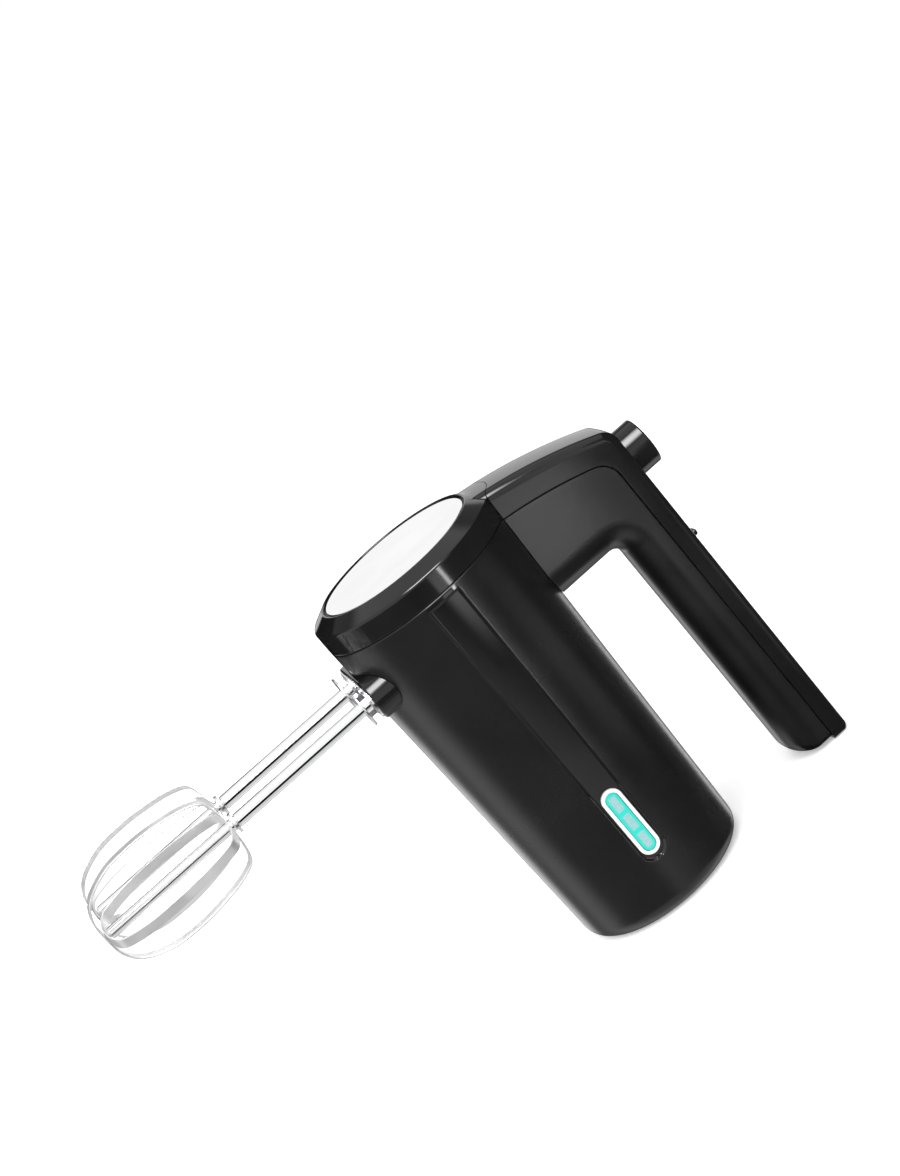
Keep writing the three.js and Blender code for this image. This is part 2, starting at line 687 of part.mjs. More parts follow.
node("eject_knob", ejectKnob(), M.gloss);
node("eject_rod", ejectRod(), M.steel);
node("eject_yoke", ejectYoke(), M.nylon);
const spring = wire(new Helix(4.4, 63.4, 87.1, 6), 0.5, 60, 5);
node("eject_spring", spring.translate([0, 0, EJECT.z]), M.steel);

// ---------- beaters ----------

// Half of a blade's middle line, from the tip to the ferrule: [distance from the body's axis, radius].
const BLADE_LINE = [
  [-198.2, 0],
  [-197.4, 9.7],
  [-192.6, 17.6],
  [-180, 23.7],
  [-167, 25.1],
  [-153, 24.4],
  [-137, 21.2],
  [-130.8, 17.6],
  [-128.6, 10.7],
  [-127.9, 3.3],
];

// The inner blade crosses the tip one thickness behind the outer one.
function bladeStrip(behind) {
  const half = BLADE_LINE.map(([x, r], i) => new THREE.Vector3(i < 2 ? x + behind : x, r, 0));
  const curve = new THREE.CatmullRomCurve3(half, false, "centripetal");
  const steps = 16;
  const side = (offset) =>
    Array.from({ length: steps + 1 }, (_, i) => {
      const p = curve.getPoint(i / steps);
      const t = i === 0 ? new THREE.Vector3(0, 1, 0) : curve.getTangent(i / steps);
      return new THREE.Vector2(p.x - t.y * offset, p.y + t.x * offset);
    });
  const mirrored = (points) => points.slice(1).reverse().map((p) => new THREE.Vector2(p.x, -p.y));
  const outer = side(0);
  const inner = side(-BEATER.bladeThick);
  const back = [...mirrored(inner), ...inner].reverse();
  const band = new THREE.Shape([...mirrored(outer), ...outer, ...back]);
  const w = BEATER.bladeWidth;
  const g = new THREE.ExtrudeGeometry(band, { depth: w, bevelEnabled: false });
  return solid(g.translate(0, 0, -w / 2)).rotate([90, 0, 0]);
}

function beaterShaft() {
  const { shaftR, coreR, tipX, rearX, ferruleX } = BEATER;
  const step = ferruleX + 2.6;
  const profile = [[0, tipX], [coreR - 0.5, tipX], [coreR, tipX + 0.6], [coreR, step], [shaftR, step]];
  return alongX(lathe([...profile, [shaftR, rearX - 0.8], [shaftR - 0.8, rearX], [0, rearX]], 16), 0, 0);
}

function beaterCollar() {
  const { collarX, collarR, shaftR } = BEATER;
  const disc = alongX(tube(collarR, shaftR + 0.35, collarX - 0.5, collarX + 0.6), 0, 0);
  const wings = box([collarX, -48], [-0.6, 0.6], [-5.6, 5.6]);
  return disc.add(wings).subtract(alongX(rod(shaftR + 0.35, -60, -40), 0, 0));
}

function beaterFerrule() {
  const x = BEATER.ferruleX;
  const profile = [[3.1, x], [4.4, x], [4.9, x + 0.5], [4.4, x + 1], [3.8, x + 2.3], [3.1, x + 2.3]];
  return alongX(lathe(profile, 16), 0, 0);
}

for (const { name, y, turn } of SIDES) {
  const place = (part) => part.rotate([-turn, 0, 0]).translate([0, y, BEATER.z]);
  node(`beater_shaft_${name}`, place(beaterShaft()), M.chrome);
  node(`beater_collar_${name}`, place(beaterCollar()), M.chrome);
  node(`beater_ferrule_${name}`, place(beaterFerrule()), M.chrome);
  node(`beater_blade_outer_${name}`, place(bladeStrip(0)), M.chrome);
  node(`beater_blade_inner_${name}`, place(bladeStrip(BEATER.bladeThick + GAP).rotate([90, 0, 0])), M.chrome);
}

// ---------- speed slider and switch ----------

function speedSlider() {
  const z = SLIDER.z;
  const plate = box([101.3, 103], [-7, 7], [z - 19, z + 21]);
  const pad = box([102.9, 105.7], [-4.3, 4.3], [z - 7, z + 7]);
  const rib = alongX(rod(1.6, 105, 109, 12).scale([1, 1.9, 1]), 0, z);
  const peg = box([99.8, 102], [-1.4, 1.4], [z - 6, z - 3.6]);
  return joined(plate, pad, rib, peg);
}

function slideSwitch() {
  const groove = box([99.2, 102], [-2, 2], [SLIDER.z - 6.6, SLIDER.z - 3 + SLIDER.travel]);
  return box(SWITCH.x, SWITCH.y, SWITCH.z).subtract(groove);
}

node("speed_slider", speedSlider(), M.satin);
node("slide_switch", slideSwitch(), M.matte);

// ---------- battery, board and leads ----------

function batteryCell() {
  const { r, length, lowZ } = CELL;
  const top = lowZ + length;
  const can = [[0, lowZ], [r - 0.4, lowZ], [r, lowZ + 0.4], [r, top - 1.6], [r - 0.5, top - 1]];
  return lathe([...can, [3, top - 1], [3, top], [0, top]], 16);
}

[90, 210, 330].forEach((deg, i) => {
  const a = THREE.MathUtils.degToRad(deg);
  const place = [CELL.spread * Math.cos(a), CELL.spread * Math.sin(a), 0];
  node(`battery_cell_${i + 1}`, batteryCell().translate(place), M.cell);
});

function batteryHolder() {
  const top = CELL.lowZ + CELL.length + GAP;
  const foot = rod(34, 6.8, CELL.lowZ - GAP, 32);
  return joined(foot, rod(1.9, 7, top + 1, 10), rod(22.5, top, top + 1.6, 32));
}

function controlBoard() {
  const z = 77;
  const board = rod(30, z, z + 1.4, 24);
  const chips = [[-28, -5, 8, 10, 6], [20, -14, 6, 6, 8], [20, 6, 5, 8, 4], [-7, -28, 14, 7, 9]];
  const chipBoxes = chips.map(([x, y, w, d, h]) => box([x, x + w], [y, y + d], [z + 1, z + 1.4 + h]));
  return joined(board, ...chipBoxes);
}

node("battery_holder", batteryHolder(), M.matte);
node("control_board", controlBoard(), M.board);

for (const [name, y, look] of [["red", 3.5, M.red], ["black", -3.5, M.black]]) {
  const route = [
    [28.4, y, 79.6],
    [30, y, 95],
    [34, y, 120],
    [37.5, y, 137],
    [46, y, 142],
    [62, y, 142],
    [76, y, 143],
    [85, y, 138],
    [90, y, 126],
    [91.3, y, 116],
    [91.4, y, 106],
  ].map((p) => new THREE.Vector3(...p));
  node(`switch_lead_${name}`, wire(new THREE.CatmullRomCurve3(route), 0.8, 26, 5), look);
}

export default mixer;
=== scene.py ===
"""A cordless hand mixer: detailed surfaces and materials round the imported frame."""

import json
import math

import bmesh
import bpy
from mathutils import Matrix, Vector
from mathutils.geometry import tessellate_polygon


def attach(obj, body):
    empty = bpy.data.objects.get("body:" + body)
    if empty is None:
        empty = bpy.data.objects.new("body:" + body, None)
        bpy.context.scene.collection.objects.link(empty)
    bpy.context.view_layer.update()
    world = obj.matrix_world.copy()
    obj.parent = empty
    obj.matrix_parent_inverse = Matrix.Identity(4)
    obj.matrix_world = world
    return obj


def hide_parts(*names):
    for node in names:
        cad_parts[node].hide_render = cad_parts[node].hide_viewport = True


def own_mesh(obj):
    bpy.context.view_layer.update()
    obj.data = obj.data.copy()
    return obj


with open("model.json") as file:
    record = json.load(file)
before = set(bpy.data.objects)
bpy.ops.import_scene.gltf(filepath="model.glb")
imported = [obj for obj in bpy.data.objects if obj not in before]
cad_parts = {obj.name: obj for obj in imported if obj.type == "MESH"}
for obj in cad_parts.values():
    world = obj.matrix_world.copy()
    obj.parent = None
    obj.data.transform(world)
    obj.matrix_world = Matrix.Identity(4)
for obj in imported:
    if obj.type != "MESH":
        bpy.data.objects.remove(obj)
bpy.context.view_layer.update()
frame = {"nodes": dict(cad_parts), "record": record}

MM = 0.001  # every length below is in millimetres and becomes metres where a mesh is made

# ---------- driving dimensions ----------
# They are the frame's own, but for the lamp's narrower rim and the front channel's deeper, curved floor.

GAP = 0.3
WALL = 2.2
BASE_R, BASE_FILLET = 41.8, 7.9
TOP_R, SEAM_Z = 47.5, 178.0
COVER_R, LEDGE_R = 32.7, 27.5
CREASE_Z, RING_TOP_Z, DISC_R = 188.5, 193.6, 38.8
SEAT_Z, DISC_LOW_Z, DISC_TOP_Z = 190.4, 190.7, 192.6  # the ring's seat for the disc, and the disc
TONGUE_R, TONGUE_X = 25.66, 24.74
CHANNEL_TOP_Z, CHANNEL_LOW_Z = 175.6, 31.9
CHANNEL_TOP_HALF, CHANNEL_LOW_HALF = 8.5, 7.0
CHANNEL_DEPTH, CHANNEL_FLATTENED, CHANNEL_WALL = 1.35, 0.6, 1.1
LAMP_Z, LAMP_LENGTH, LAMP_WIDTH, LAMP_RIM = 46.3, 36.0, 10.0, 1.6
HALF_WIDTH, OUTER_X, FOOT_X, SEAM_X, INNER_X, ARM_Z = 16.5, 106.0, 105.2, 95.8, 77.9, 131.0
OUTER_ROUND, INNER_ROUND = 4.5, 14.5
SEAM_ROUND = 0.45
ARM_START_X, SEAM_TURN_X = 36.0, 86.0  # the arm is drawn from inside the body, and its seam turns down here
GUIDE_LOW_X, GUIDE_HIGH_X, GUIDE_HALF, GUIDE_TOP_Z = 60.0, 62.5, 13.5, 168.0  # the wall inside the grip
BEATER_Y, BEATER_Z = 18.25, 156.0
BOSS_R, BOSS_X, NECK_R, NECK_X, BORE_R = 10.0, -48.5, 8.8, -35.5, 7.6
SIDES = {"left": (-BEATER_Y, -8.0), "right": (BEATER_Y, 40.0)}  # y, and degrees from +Z towards +Y
EJECT_Z, EJECT_TRAVEL = 157.3, 7.0
KNOB_R, KNOB_LOW_X, KNOB_TOP_X = 11.55, 102.4, 116.6
ROD_IN_BODY_R, ROD_IN_GUIDE_R, ROD_IN_KNOB_R = 4.2, 3.6, 3.35  # the holes that the eject rod stands in
SLIDER_Z, SLIDER_TRAVEL = 111.0, 12.0
LEAD_Z, LEAD_WIDTH, LEAD_HEIGHT = 142.0, 14.0, 5.0  # the opening for the two leads, from body to handle
CHARGE_Z, CHARGE_WIDTH, CHARGE_HEIGHT = 18.0, 10.0, 4.2  # the opening for the charge socket
SCREW_CIRCLE = 30.0

# Spans that reach through one wall only: along Y at the front, and along X elsewhere.
THROUGH_FRONT, THROUGH_BEATER_SIDE = (-60, -20), (-60, -30)
THROUGH_HANDLE_SIDE, THROUGH_GUIDE, THROUGH_COVER = (30, 60), (55, 65), (98, 110)

BODY_SLOPE = (TOP_R - BASE_R) / (SEAM_Z - BASE_FILLET)


def body_r(z):
    """The body's outer radius at a height."""
    return BASE_R + BODY_SLOPE * (z - BASE_FILLET)


# ---------- mesh helpers ----------


def mesh_object(name, points, faces):
    mesh = bpy.data.meshes.new(name)
    mesh.from_pydata([Vector(p) * MM for p in points], [], faces)
    mesh.validate()
    obj = bpy.data.objects.new(name, mesh)
    bpy.context.scene.collection.objects.link(obj)
    bm = bmesh.new()
    bm.from_mesh(mesh)
    bmesh.ops.remove_doubles(bm, verts=bm.verts, dist=1e-7)
    bmesh.ops.recalc_face_normals(bm, faces=bm.faces)
    bm.to_mesh(mesh)
    bm.free()
    return obj


def loft(name, rings, capped=True):
    """Joins outlines of equal length, one after another. Capped closes both ends, and otherwise the last
    outline meets the first."""
    n = len(rings[0])
    points = [p for ring in rings for p in ring]
    spans = len(rings) - 1 if capped else len(rings)
    faces = []
    for k in range(spans):
        here, there = k * n, ((k + 1) % len(rings)) * n
        faces += [(here + i, here + (i + 1) % n, there + (i + 1) % n, there + i) for i in range(n)]
    if capped:
        for start in (0, (len(rings) - 1) * n):
            ring = [Vector(points[start + i]) for i in range(n)]
            faces += [tuple(start + i for i in tri) for tri in tessellate_polygon([ring])]
    return mesh_object(name, points, faces)


def turned(name, outline, segments=128, axis="Z", centre=(0, 0, 0)):
    """A closed (radius, height) outline turned about an axis through the centre. An outline that touches
    the axis may do so at its first and last points."""
    rings = []
    for k in range(segments):
        a = 2 * math.pi * k / segments
        c, s = math.cos(a), math.sin(a)
        if axis == "Z":
            ring = [(r * c, r * s, h) for r, h in outline]
        else:
            ring = [(h, r * c, r * s) for r, h in outline]
        rings.append([Vector(p) + Vector(centre) for p in ring])
    return loft(name, rings, capped=False)


def arc(cx, cy, radius, start, end, steps):
    angles = [math.radians(start + (end - start) * i / steps) for i in range(steps + 1)]
    return [(cx + radius * math.cos(a), cy + radius * math.sin(a)) for a in angles]


def rounded(corners, steps=5):
    """An outline from (x, y, radius) corners, with each corner's radius drawn as an arc."""
    out = []
    n = len(corners)
    for i, (x, y, r) in enumerate(corners):
        here = Vector((x, y))
        if not r:
            out.append((x, y))
            continue
        before = (Vector(corners[i - 1][:2]) - here).normalized()
        after = (Vector(corners[(i + 1) % n][:2]) - here).normalized()
        half = before.angle(after) / 2
        centre = here + (before + after).normalized() * (r / math.sin(half))
        start = here + before * (r / math.tan(half)) - centre
        turn = start.angle_signed(here + after * (r / math.tan(half)) - centre)
        for k in range(steps + 1):
            p = centre + Matrix.Rotation(-turn * k / steps, 2) @ start
            out.append((p.x, p.y))
    return out


def prism(name, outline, axis, low, high):
    """A prism of an outline: (x, z) points run along Y, (y, z) points along X."""
    place = (lambda u, v, w: (u, w, v)) if axis == "Y" else (lambda u, v, w: (w, u, v))
    return loft(name, [[place(u, v, w) for u, v in outline] for w in (low, high)])


def stadium(cx, cy, length, width, upright, steps=16):
    r = width / 2
    reach = length / 2 - r
    if upright:
        return arc(cx, cy + reach, r, 0, 180, steps) + arc(cx, cy - reach, r, 180, 360, steps)
    return arc(cx + reach, cy, r, -90, 90, steps) + arc(cx - reach, cy, r, 90, 270, steps)


def boolean(target, other, operation):
    """Cuts, joins or crosses target with other, which is used up."""
    mod = target.modifiers.new("cut", "BOOLEAN")
    mod.operation = operation
    mod.solver = "MANIFOLD"
    mod.object = other
    bpy.context.view_layer.update()
    made = bpy.data.meshes.new_from_object(target.evaluated_get(bpy.context.evaluated_depsgraph_get()))
    target.modifiers.remove(mod)
    target.data = made
    bpy.data.objects.remove(other)


def cut(target, *others):
    for other in others:
        boolean(target, other, "DIFFERENCE")


def smooth(obj, angle=32):
    """Shades smooth, with edges sharper than the angle kept, and flat faces kept flat by weighted normals."""
    mesh = obj.data
    mesh.polygons.foreach_set("use_smooth", [True] * len(mesh.polygons))
    mesh.set_sharp_from_angle(angle=math.radians(angle))
    mod = obj.modifiers.new("weighted", "WEIGHTED_NORMAL")
    mod.keep_sharp = True
    mod.weight = 50


def finish_piece(obj, material, body, slot, *nodes, angle=32):
    """The last steps of a piece that stands for CAD nodes."""
    smooth(obj, angle)
    obj.data.materials.clear()
    obj.data.materials.append(material)
    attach(obj, body)
    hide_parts(*nodes)


# ---------- materials ----------


class Nodes:
    """A small builder for one material's node tree."""

    def __init__(self, name):
        self.material = bpy.data.materials.new(name)
        self.material.use_nodes = True
        self.tree = self.material.node_tree
        self.shader = self.tree.nodes["Principled BSDF"]
        coords = self.tree.nodes.new("ShaderNodeTexCoord")
        self.place = coords.outputs["Object"]

    def add(self, kind, inputs=(), **settings):
        node = self.tree.nodes.new(kind)
        for key, value in settings.items():
            setattr(node, key, value)
        for key, value in dict(inputs).items():
            self.feed(node.inputs[key], value)
        return node

    def feed(self, socket, value):
        if isinstance(value, bpy.types.NodeSocket):
            self.tree.links.new(value, socket)
        else:
            socket.default_value = value

    def math(self, operation, *values):
        return self.add("ShaderNodeMath", enumerate(values), operation=operation).outputs[0]

    def stretched(self, scale):
        return self.add("ShaderNodeMapping", {"Vector": self.place, "Scale": scale}).outputs["Vector"]

    def noise(self, scale, detail=4.0, stretch=None, roughness=0.55):
        where = self.stretched(stretch) if stretch else self.place
        inputs = {"Vector": where, "Scale": scale, "Detail": detail, "Roughness": roughness}
        return self.add("ShaderNodeTexNoise", inputs).outputs["Fac"]

    def span(self, value, low, high, start=0.25, end=0.75):
        """Spreads a value from one range to another, with soft ends."""
        inputs = {"Value": value, "From Min": start, "From Max": end, "To Min": low, "To Max": high}
        node = self.add("ShaderNodeMapRange", inputs, interpolation_type="SMOOTHSTEP")
        return node.outputs["Result"]

    def blend(self, factor, first, second):
        node = self.add("ShaderNodeMix", data_type="RGBA")
        self.feed(node.inputs[0], factor)
        self.feed(node.inputs[6], (*first, 1) if isinstance(first, tuple) else first)
        self.feed(node.inputs[7], (*second, 1) if isinstance(second, tuple) else second)
        return node.outputs[2]

    def bump(self, height, strength, distance):
        inputs = {"Height": height, "Strength": strength, "Distance": distance}
        node = self.add("ShaderNodeBump", inputs)
        self.feed(self.shader.inputs["Normal"], node.outputs["Normal"])

    def set(self, **values):
        for key, value in values.items():
            self.feed(self.shader.inputs[key.replace("_", " ")], value)


def gloss_plastic(name, dark, light, rough=(0.07, 0.12), ior=1.5):
    """Polished moulded plastic: a faint orange peel, and handling smudges that dull it in places."""
    m = Nodes(name)
    smudge = m.noise(38, 5)
    peel = m.noise(260, 1)
    m.set(Base_Color=m.blend(m.span(smudge, 0, 1), dark, light))
    m.set(Roughness=m.span(smudge, *rough), IOR=ior)
    m.bump(peel, 0.02, 0.00006)
    return m.material


def body_plastic(name, dark, light):
    """The body's moulding: a fine satin all round, and polished inside the front channel."""
    m = Nodes(name)
    split = m.add("ShaderNodeSeparateXYZ", {"Vector": m.place})
    past_end = m.math("MINIMUM", m.math("SUBTRACT", split.outputs["Z"], CHANNEL_LOW_Z * MM), 0.0)
    from_line = m.add("ShaderNodeCombineXYZ", {"X": split.outputs["X"], "Y": past_end}).outputs[0]
    across = m.add("ShaderNodeVectorMath", {0: from_line}, operation="LENGTH").outputs["Value"]
    taper = {"Value": split.outputs["Z"], "From Min": CHANNEL_LOW_Z * MM, "From Max": CHANNEL_TOP_Z * MM,
             "To Min": CHANNEL_LOW_HALF * MM, "To Max": CHANNEL_TOP_HALF * MM}
    half = m.add("ShaderNodeMapRange", taper).outputs["Result"]
    in_width = m.span(m.math("SUBTRACT", half, across), 0, 1, 0.0, 0.6 * MM)
    front = m.span(split.outputs["Y"], 1, 0, -36 * MM, -34 * MM)
    channel = m.math("MULTIPLY", in_width, front)
    worn = m.noise(26, 4)
    satin = m.span(worn, 0.262, 0.276)
    outside = m.math("SUBTRACT", 1.0, channel)
    rough = m.math("MAXIMUM", m.math("MULTIPLY", satin, outside), 0.06)
    grain = m.math("MULTIPLY", m.noise(2400, 2), outside)
    m.set(Base_Color=m.blend(m.span(worn, 0, 1), dark, light), Roughness=rough, IOR=1.5)
    m.bump(grain, 0.10, 0.00003)
    return m.material


def satin_plastic(name, dark, light, rough=(0.36, 0.46), grain=2600, ior=1.48):
    """Spark-eroded satin plastic: a fine grain with slight polish where hands rub it."""
    m = Nodes(name)
    worn = m.noise(30, 4)
    texture = m.noise(grain, 2, roughness=0.7)
    m.set(Base_Color=m.blend(m.span(worn, 0, 1), dark, light))
    m.set(Roughness=m.span(worn, *rough), IOR=ior)
    m.bump(texture, 0.25, 0.00006)
    return m.material


def polished_metal(name, colour, rough, along=(1, 1, 1)):
    """Bright metal with faint drawing or polishing lines along one direction."""
    m = Nodes(name)
    lines = m.noise(700, 3, stretch=along)
    haze = m.noise(45, 4)
    warm = tuple(c * 0.93 for c in colour)
    m.set(Base_Color=m.blend(m.span(haze, 0, 1), warm, colour), Metallic=1.0)
    m.set(Roughness=m.span(haze, *rough))
    m.bump(lines, 0.05, 0.00003)
    return m.material


def turned_metal(name, colour, rough=(0.22, 0.36)):
    """Machined steel or brass with visible tool marks and a little tarnish."""
    m = Nodes(name)
    marks = m.noise(1500, 3, stretch=(1, 0.2, 0.2))
    tarnish = m.noise(120, 5)
    dull = tuple(c * 0.75 for c in colour)
    m.set(Base_Color=m.blend(m.span(tarnish, 0, 1, 0.4, 0.75), colour, dull), Metallic=1.0)
    m.set(Roughness=m.span(tarnish, *rough))
    m.bump(marks, 0.15, 0.00004)
    return m.material


def lamp_glass(name):
    """The lamp's turquoise lens, with three paler cells lit from behind along its length."""
    m = Nodes(name)
    split = m.add("ShaderNodeSeparateXYZ", {"Vector": m.place})
    pitch, cells = 10.3 * MM, 3
    low = LAMP_Z * MM - pitch * cells / 2
    up = m.math("SUBTRACT", split.outputs["Z"], low)
    part = m.math("FRACT", m.math("DIVIDE", up, pitch))
    tall = m.math("ABSOLUTE", m.math("SUBTRACT", part, 0.5))
    wide = m.math("ABSOLUTE", split.outputs["X"])
    in_height = m.span(tall, 1, 0, 0.34, 0.44)
    in_width = m.span(wide, 1, 0, 1.2 * MM, 2.2 * MM)
    cell = m.math("MULTIPLY", in_height, in_width)
    speck = m.noise(900, 3)
    pale = m.blend(m.span(speck, 0, 1), (0.20, 0.40, 0.40), (0.28, 0.43, 0.43))
    colour = m.blend(cell, (0.012, 0.50, 0.43), pale)
    m.set(Base_Color=colour, Roughness=m.span(speck, 0.16, 0.24))
    m.set(Emission_Color=colour, Emission_Strength=0.2)
    return m.material


def circuit_board(name):
    """Green solder mask with copper tracks showing through."""
    m = Nodes(name)
    tracks = m.add("ShaderNodeTexBrick", {"Vector": m.place, "Scale": 160.0, "Mortar Size": 0.03})
    m.feed(tracks.inputs["Color1"], (0.012, 0.10, 0.04, 1))
    m.feed(tracks.inputs["Color2"], (0.016, 0.13, 0.05, 1))
    m.feed(tracks.inputs["Mortar"], (0.05, 0.26, 0.09, 1))
    m.set(Base_Color=tracks.outputs["Color"], Roughness=m.span(m.noise(200), 0.28, 0.42))
    m.bump(tracks.outputs["Fac"], 0.2, 0.00008)
    return m.material


MATERIALS = {
    "gloss_black": gloss_plastic("gloss_black", (0.007, 0.007, 0.0073), (0.009, 0.009, 0.0093), ior=1.44),
    "body_black": body_plastic("body_black", (0.006, 0.006, 0.0063), (0.009, 0.009, 0.0093)),
    "satin_black": satin_plastic(
        "satin_black", (0.002, 0.002, 0.0021), (0.0035, 0.0035, 0.0037), (0.30, 0.36), ior=1.62),
    "matte_black": satin_plastic(
        "matte_black", (0.020, 0.020, 0.021), (0.028, 0.028, 0.029), (0.5, 0.65), 1800),
    "mirror_metal": polished_metal("mirror_metal", (0.95, 0.95, 0.955), (0.02, 0.05), (0.08, 1, 1)),
    "brushed_metal": polished_metal("brushed_metal", (0.92, 0.92, 0.925), (0.42, 0.56), (0.08, 1, 1)),
    "pressed_metal": polished_metal("pressed_metal", (0.80, 0.80, 0.81), (0.20, 0.28), (1, 1, 1)),
    "steel": turned_metal("steel", (0.62, 0.63, 0.65)),
    "brass": turned_metal("brass", (0.80, 0.58, 0.25)),
    "wheel_nylon": satin_plastic("wheel_nylon", (0.68, 0.64, 0.52), (0.76, 0.72, 0.60), (0.4, 0.55), 1500),
    "lamp_white": gloss_plastic("lamp_white", (0.80, 0.81, 0.81), (0.86, 0.87, 0.87), (0.12, 0.2)),
    "lamp_lens": lamp_glass("lamp_lens"),
    "circuit_board": circuit_board("circuit_board"),
    "cell_wrap": gloss_plastic("cell_wrap", (0.03, 0.12, 0.30), (0.05, 0.17, 0.38), (0.25, 0.4)),
    "lead_red": satin_plastic("lead_red", (0.40, 0.02, 0.015), (0.50, 0.03, 0.02), (0.35, 0.5), 1200),
    "lead_black": satin_plastic("lead_black", (0.012, 0.012, 0.012), (0.02, 0.02, 0.02), (0.35, 0.5), 1200),
}

# ---------- camera, floor and light ----------

CAMERA_PLACE = Vector((-0.10257, -1.14171, 0.46278))
LEVEL_RIGHT = Vector((0.99545, -0.09419, 0.01439))
LEVEL_UP = Vector((0.00977, 0.25119, 0.96789))
ROLL = math.radians(41.1)
LENS, SENSOR = 84.1, 36.0


def add_camera():
    right = math.cos(ROLL) * LEVEL_RIGHT - math.sin(ROLL) * LEVEL_UP
    up = math.sin(ROLL) * LEVEL_RIGHT + math.cos(ROLL) * LEVEL_UP
    back = right.cross(up).normalized()
    turn = Matrix((right, up, back)).transposed().to_4x4()
    data = bpy.data.cameras.new("camera")
    data.lens, data.sensor_width = LENS, SENSOR
    data.clip_start, data.clip_end = 0.05, 20
    camera = bpy.data.objects.new("camera", data)
    camera.matrix_world = Matrix.Translation(CAMERA_PLACE) @ turn
    bpy.context.scene.collection.objects.link(camera)
    bpy.context.scene.camera = camera


def add_panel(name, place, target, width, height, brightness, roll=0.0):
    """A card that only reflections show. A mirror sees this brightness at its middle, where paper white is 1,
    fading to nothing at its edges. A black card has no brightness and hard edges."""
    half_w, half_h = width / 2 / MM, height / 2 / MM
    corners = [(-half_w, -half_h, 0), (half_w, -half_h, 0), (half_w, half_h, 0), (-half_w, half_h, 0)]
    panel = mesh_object(name, corners, [(0, 1, 2, 3)])
    way = Vector(target) - Vector(place)
    turn = way.to_track_quat("-Z", "Y").to_matrix().to_4x4() @ Matrix.Rotation(math.radians(roll), 4, "Z")
    panel.matrix_world = Matrix.Translation(place) @ turn
    panel.visible_camera = panel.visible_diffuse = panel.visible_shadow = panel.visible_transmission = False
    m = Nodes(name)
    m.set(Base_Color=(0, 0, 0, 1), Specular_IOR_Level=0.0, Roughness=1.0)
    if brightness:
        split = m.add("ShaderNodeSeparateXYZ", {"Vector": m.place}).outputs
        across = m.math("ABSOLUTE", split["X"])
        along = m.math("ABSOLUTE", split["Y"])
        fade = m.span(across, 1, 0, 0.3 * width, 0.5 * width)
        glow = m.span(along, brightness, 0, 0.08 * height, 0.5 * height)
        m.set(Emission_Color=(1, 1, 1, 1), Emission_Strength=m.math("MULTIPLY", fade, glow))
    panel.data.materials.append(m.material)


def add_sun():
    """An even light over the whole scene, which reflections don't show."""
    data = bpy.data.lights.new("sun", "SUN")
    data.energy = 1.8
    data.angle = math.radians(60)
    sun = bpy.data.objects.new("sun", data)
    sun.matrix_world = Vector((0.35, 0.45, -1)).to_track_quat("-Z", "Y").to_matrix().to_4x4()
    sun.visible_glossy = False
    bpy.context.scene.collection.objects.link(sun)


def add_floor():
    """A plain pale floor that glows a little, so shadows on it stay faint. Reflections show the studio's
    surround below the horizon in its place."""
    reach = 6000
    corners = [(-reach, -reach, 0), (reach, -reach, 0), (reach, reach, 0), (-reach, reach, 0)]
    floor = mesh_object("floor", corners, [(0, 1, 2, 3)])
    m = Nodes("floor")
    m.set(Base_Color=m.blend(m.span(m.noise(3), 0, 1), (0.93, 0.93, 0.93), (0.95, 0.95, 0.95)), Roughness=0.8)
    m.set(Emission_Color=(1, 1, 1, 1), Emission_Strength=0.35)
    floor.data.materials.append(m.material)
    floor.visible_glossy = False
    floor.visible_shadow = False


def add_world():
    """A white surround with a dark band low in front and another high behind, which draw the lines that
    polished metal shows, and dimmer low behind. It lights matt surfaces from above only, and the camera
    sees it white."""
    world = bpy.data.worlds.new("studio")
    world.use_nodes = True
    tree = world.node_tree

    def node(kind, *values, **settings):
        made = tree.nodes.new(kind)
        for key, value in settings.items():
            setattr(made, key, value)
        for i, value in enumerate(values):
            if isinstance(value, bpy.types.NodeSocket):
                tree.links.new(value, made.inputs[i])
            else:
                made.inputs[i].default_value = value
        return made.outputs[0]

    def ramp(value, start, end, low, high):
        return node("ShaderNodeMapRange", value, start, end, low, high, interpolation_type="SMOOTHSTEP")

    def both(first, second):
        return node("ShaderNodeMath", first, second, operation="MULTIPLY")

    way = tree.nodes.new("ShaderNodeSeparateXYZ")
    tree.links.new(tree.nodes.new("ShaderNodeTexCoord").outputs["Generated"], way.inputs[0])
    depth, height = way.outputs["Y"], way.outputs["Z"]
    front = ramp(depth, -0.15, 0.2, 1, 0)
    low_band = both(ramp(height, -0.20, -0.10, 1, 0), ramp(height, -0.62, -0.54, 0.35, 1))
    behind = both(ramp(height, -0.12, 0.0, 1, 0), ramp(depth, 0.35, 0.6, 0, 1))
    high_band = both(ramp(height, 0.34, 0.44, 0, 1), ramp(height, 0.68, 0.8, 1, 0))
    lit = node("ShaderNodeMath", both(low_band, front), -0.94, 1.0, operation="MULTIPLY_ADD")
    lit = node("ShaderNodeMath", behind, -0.75, lit, operation="MULTIPLY_ADD")
    high_behind = both(high_band, ramp(depth, 0.1, 0.5, 0, 1))
    lit = node("ShaderNodeMath", high_behind, -0.8, lit, operation="MULTIPLY_ADD")
    rays = tree.nodes.new("ShaderNodeLightPath").outputs
    from_below = both(ramp(height, -0.1, 0.15, 1, 0), rays["Is Diffuse Ray"])
    lit = both(lit, node("ShaderNodeMath", 1.0, from_below, operation="SUBTRACT"))
    strength = node("ShaderNodeMath", lit, rays["Is Camera Ray"], operation="MAXIMUM")
    background = tree.nodes["Background"]
    background.inputs["Color"].default_value = (1, 1, 1, 1)
    tree.links.new(strength, background.inputs["Strength"])
    bpy.context.scene.world = world


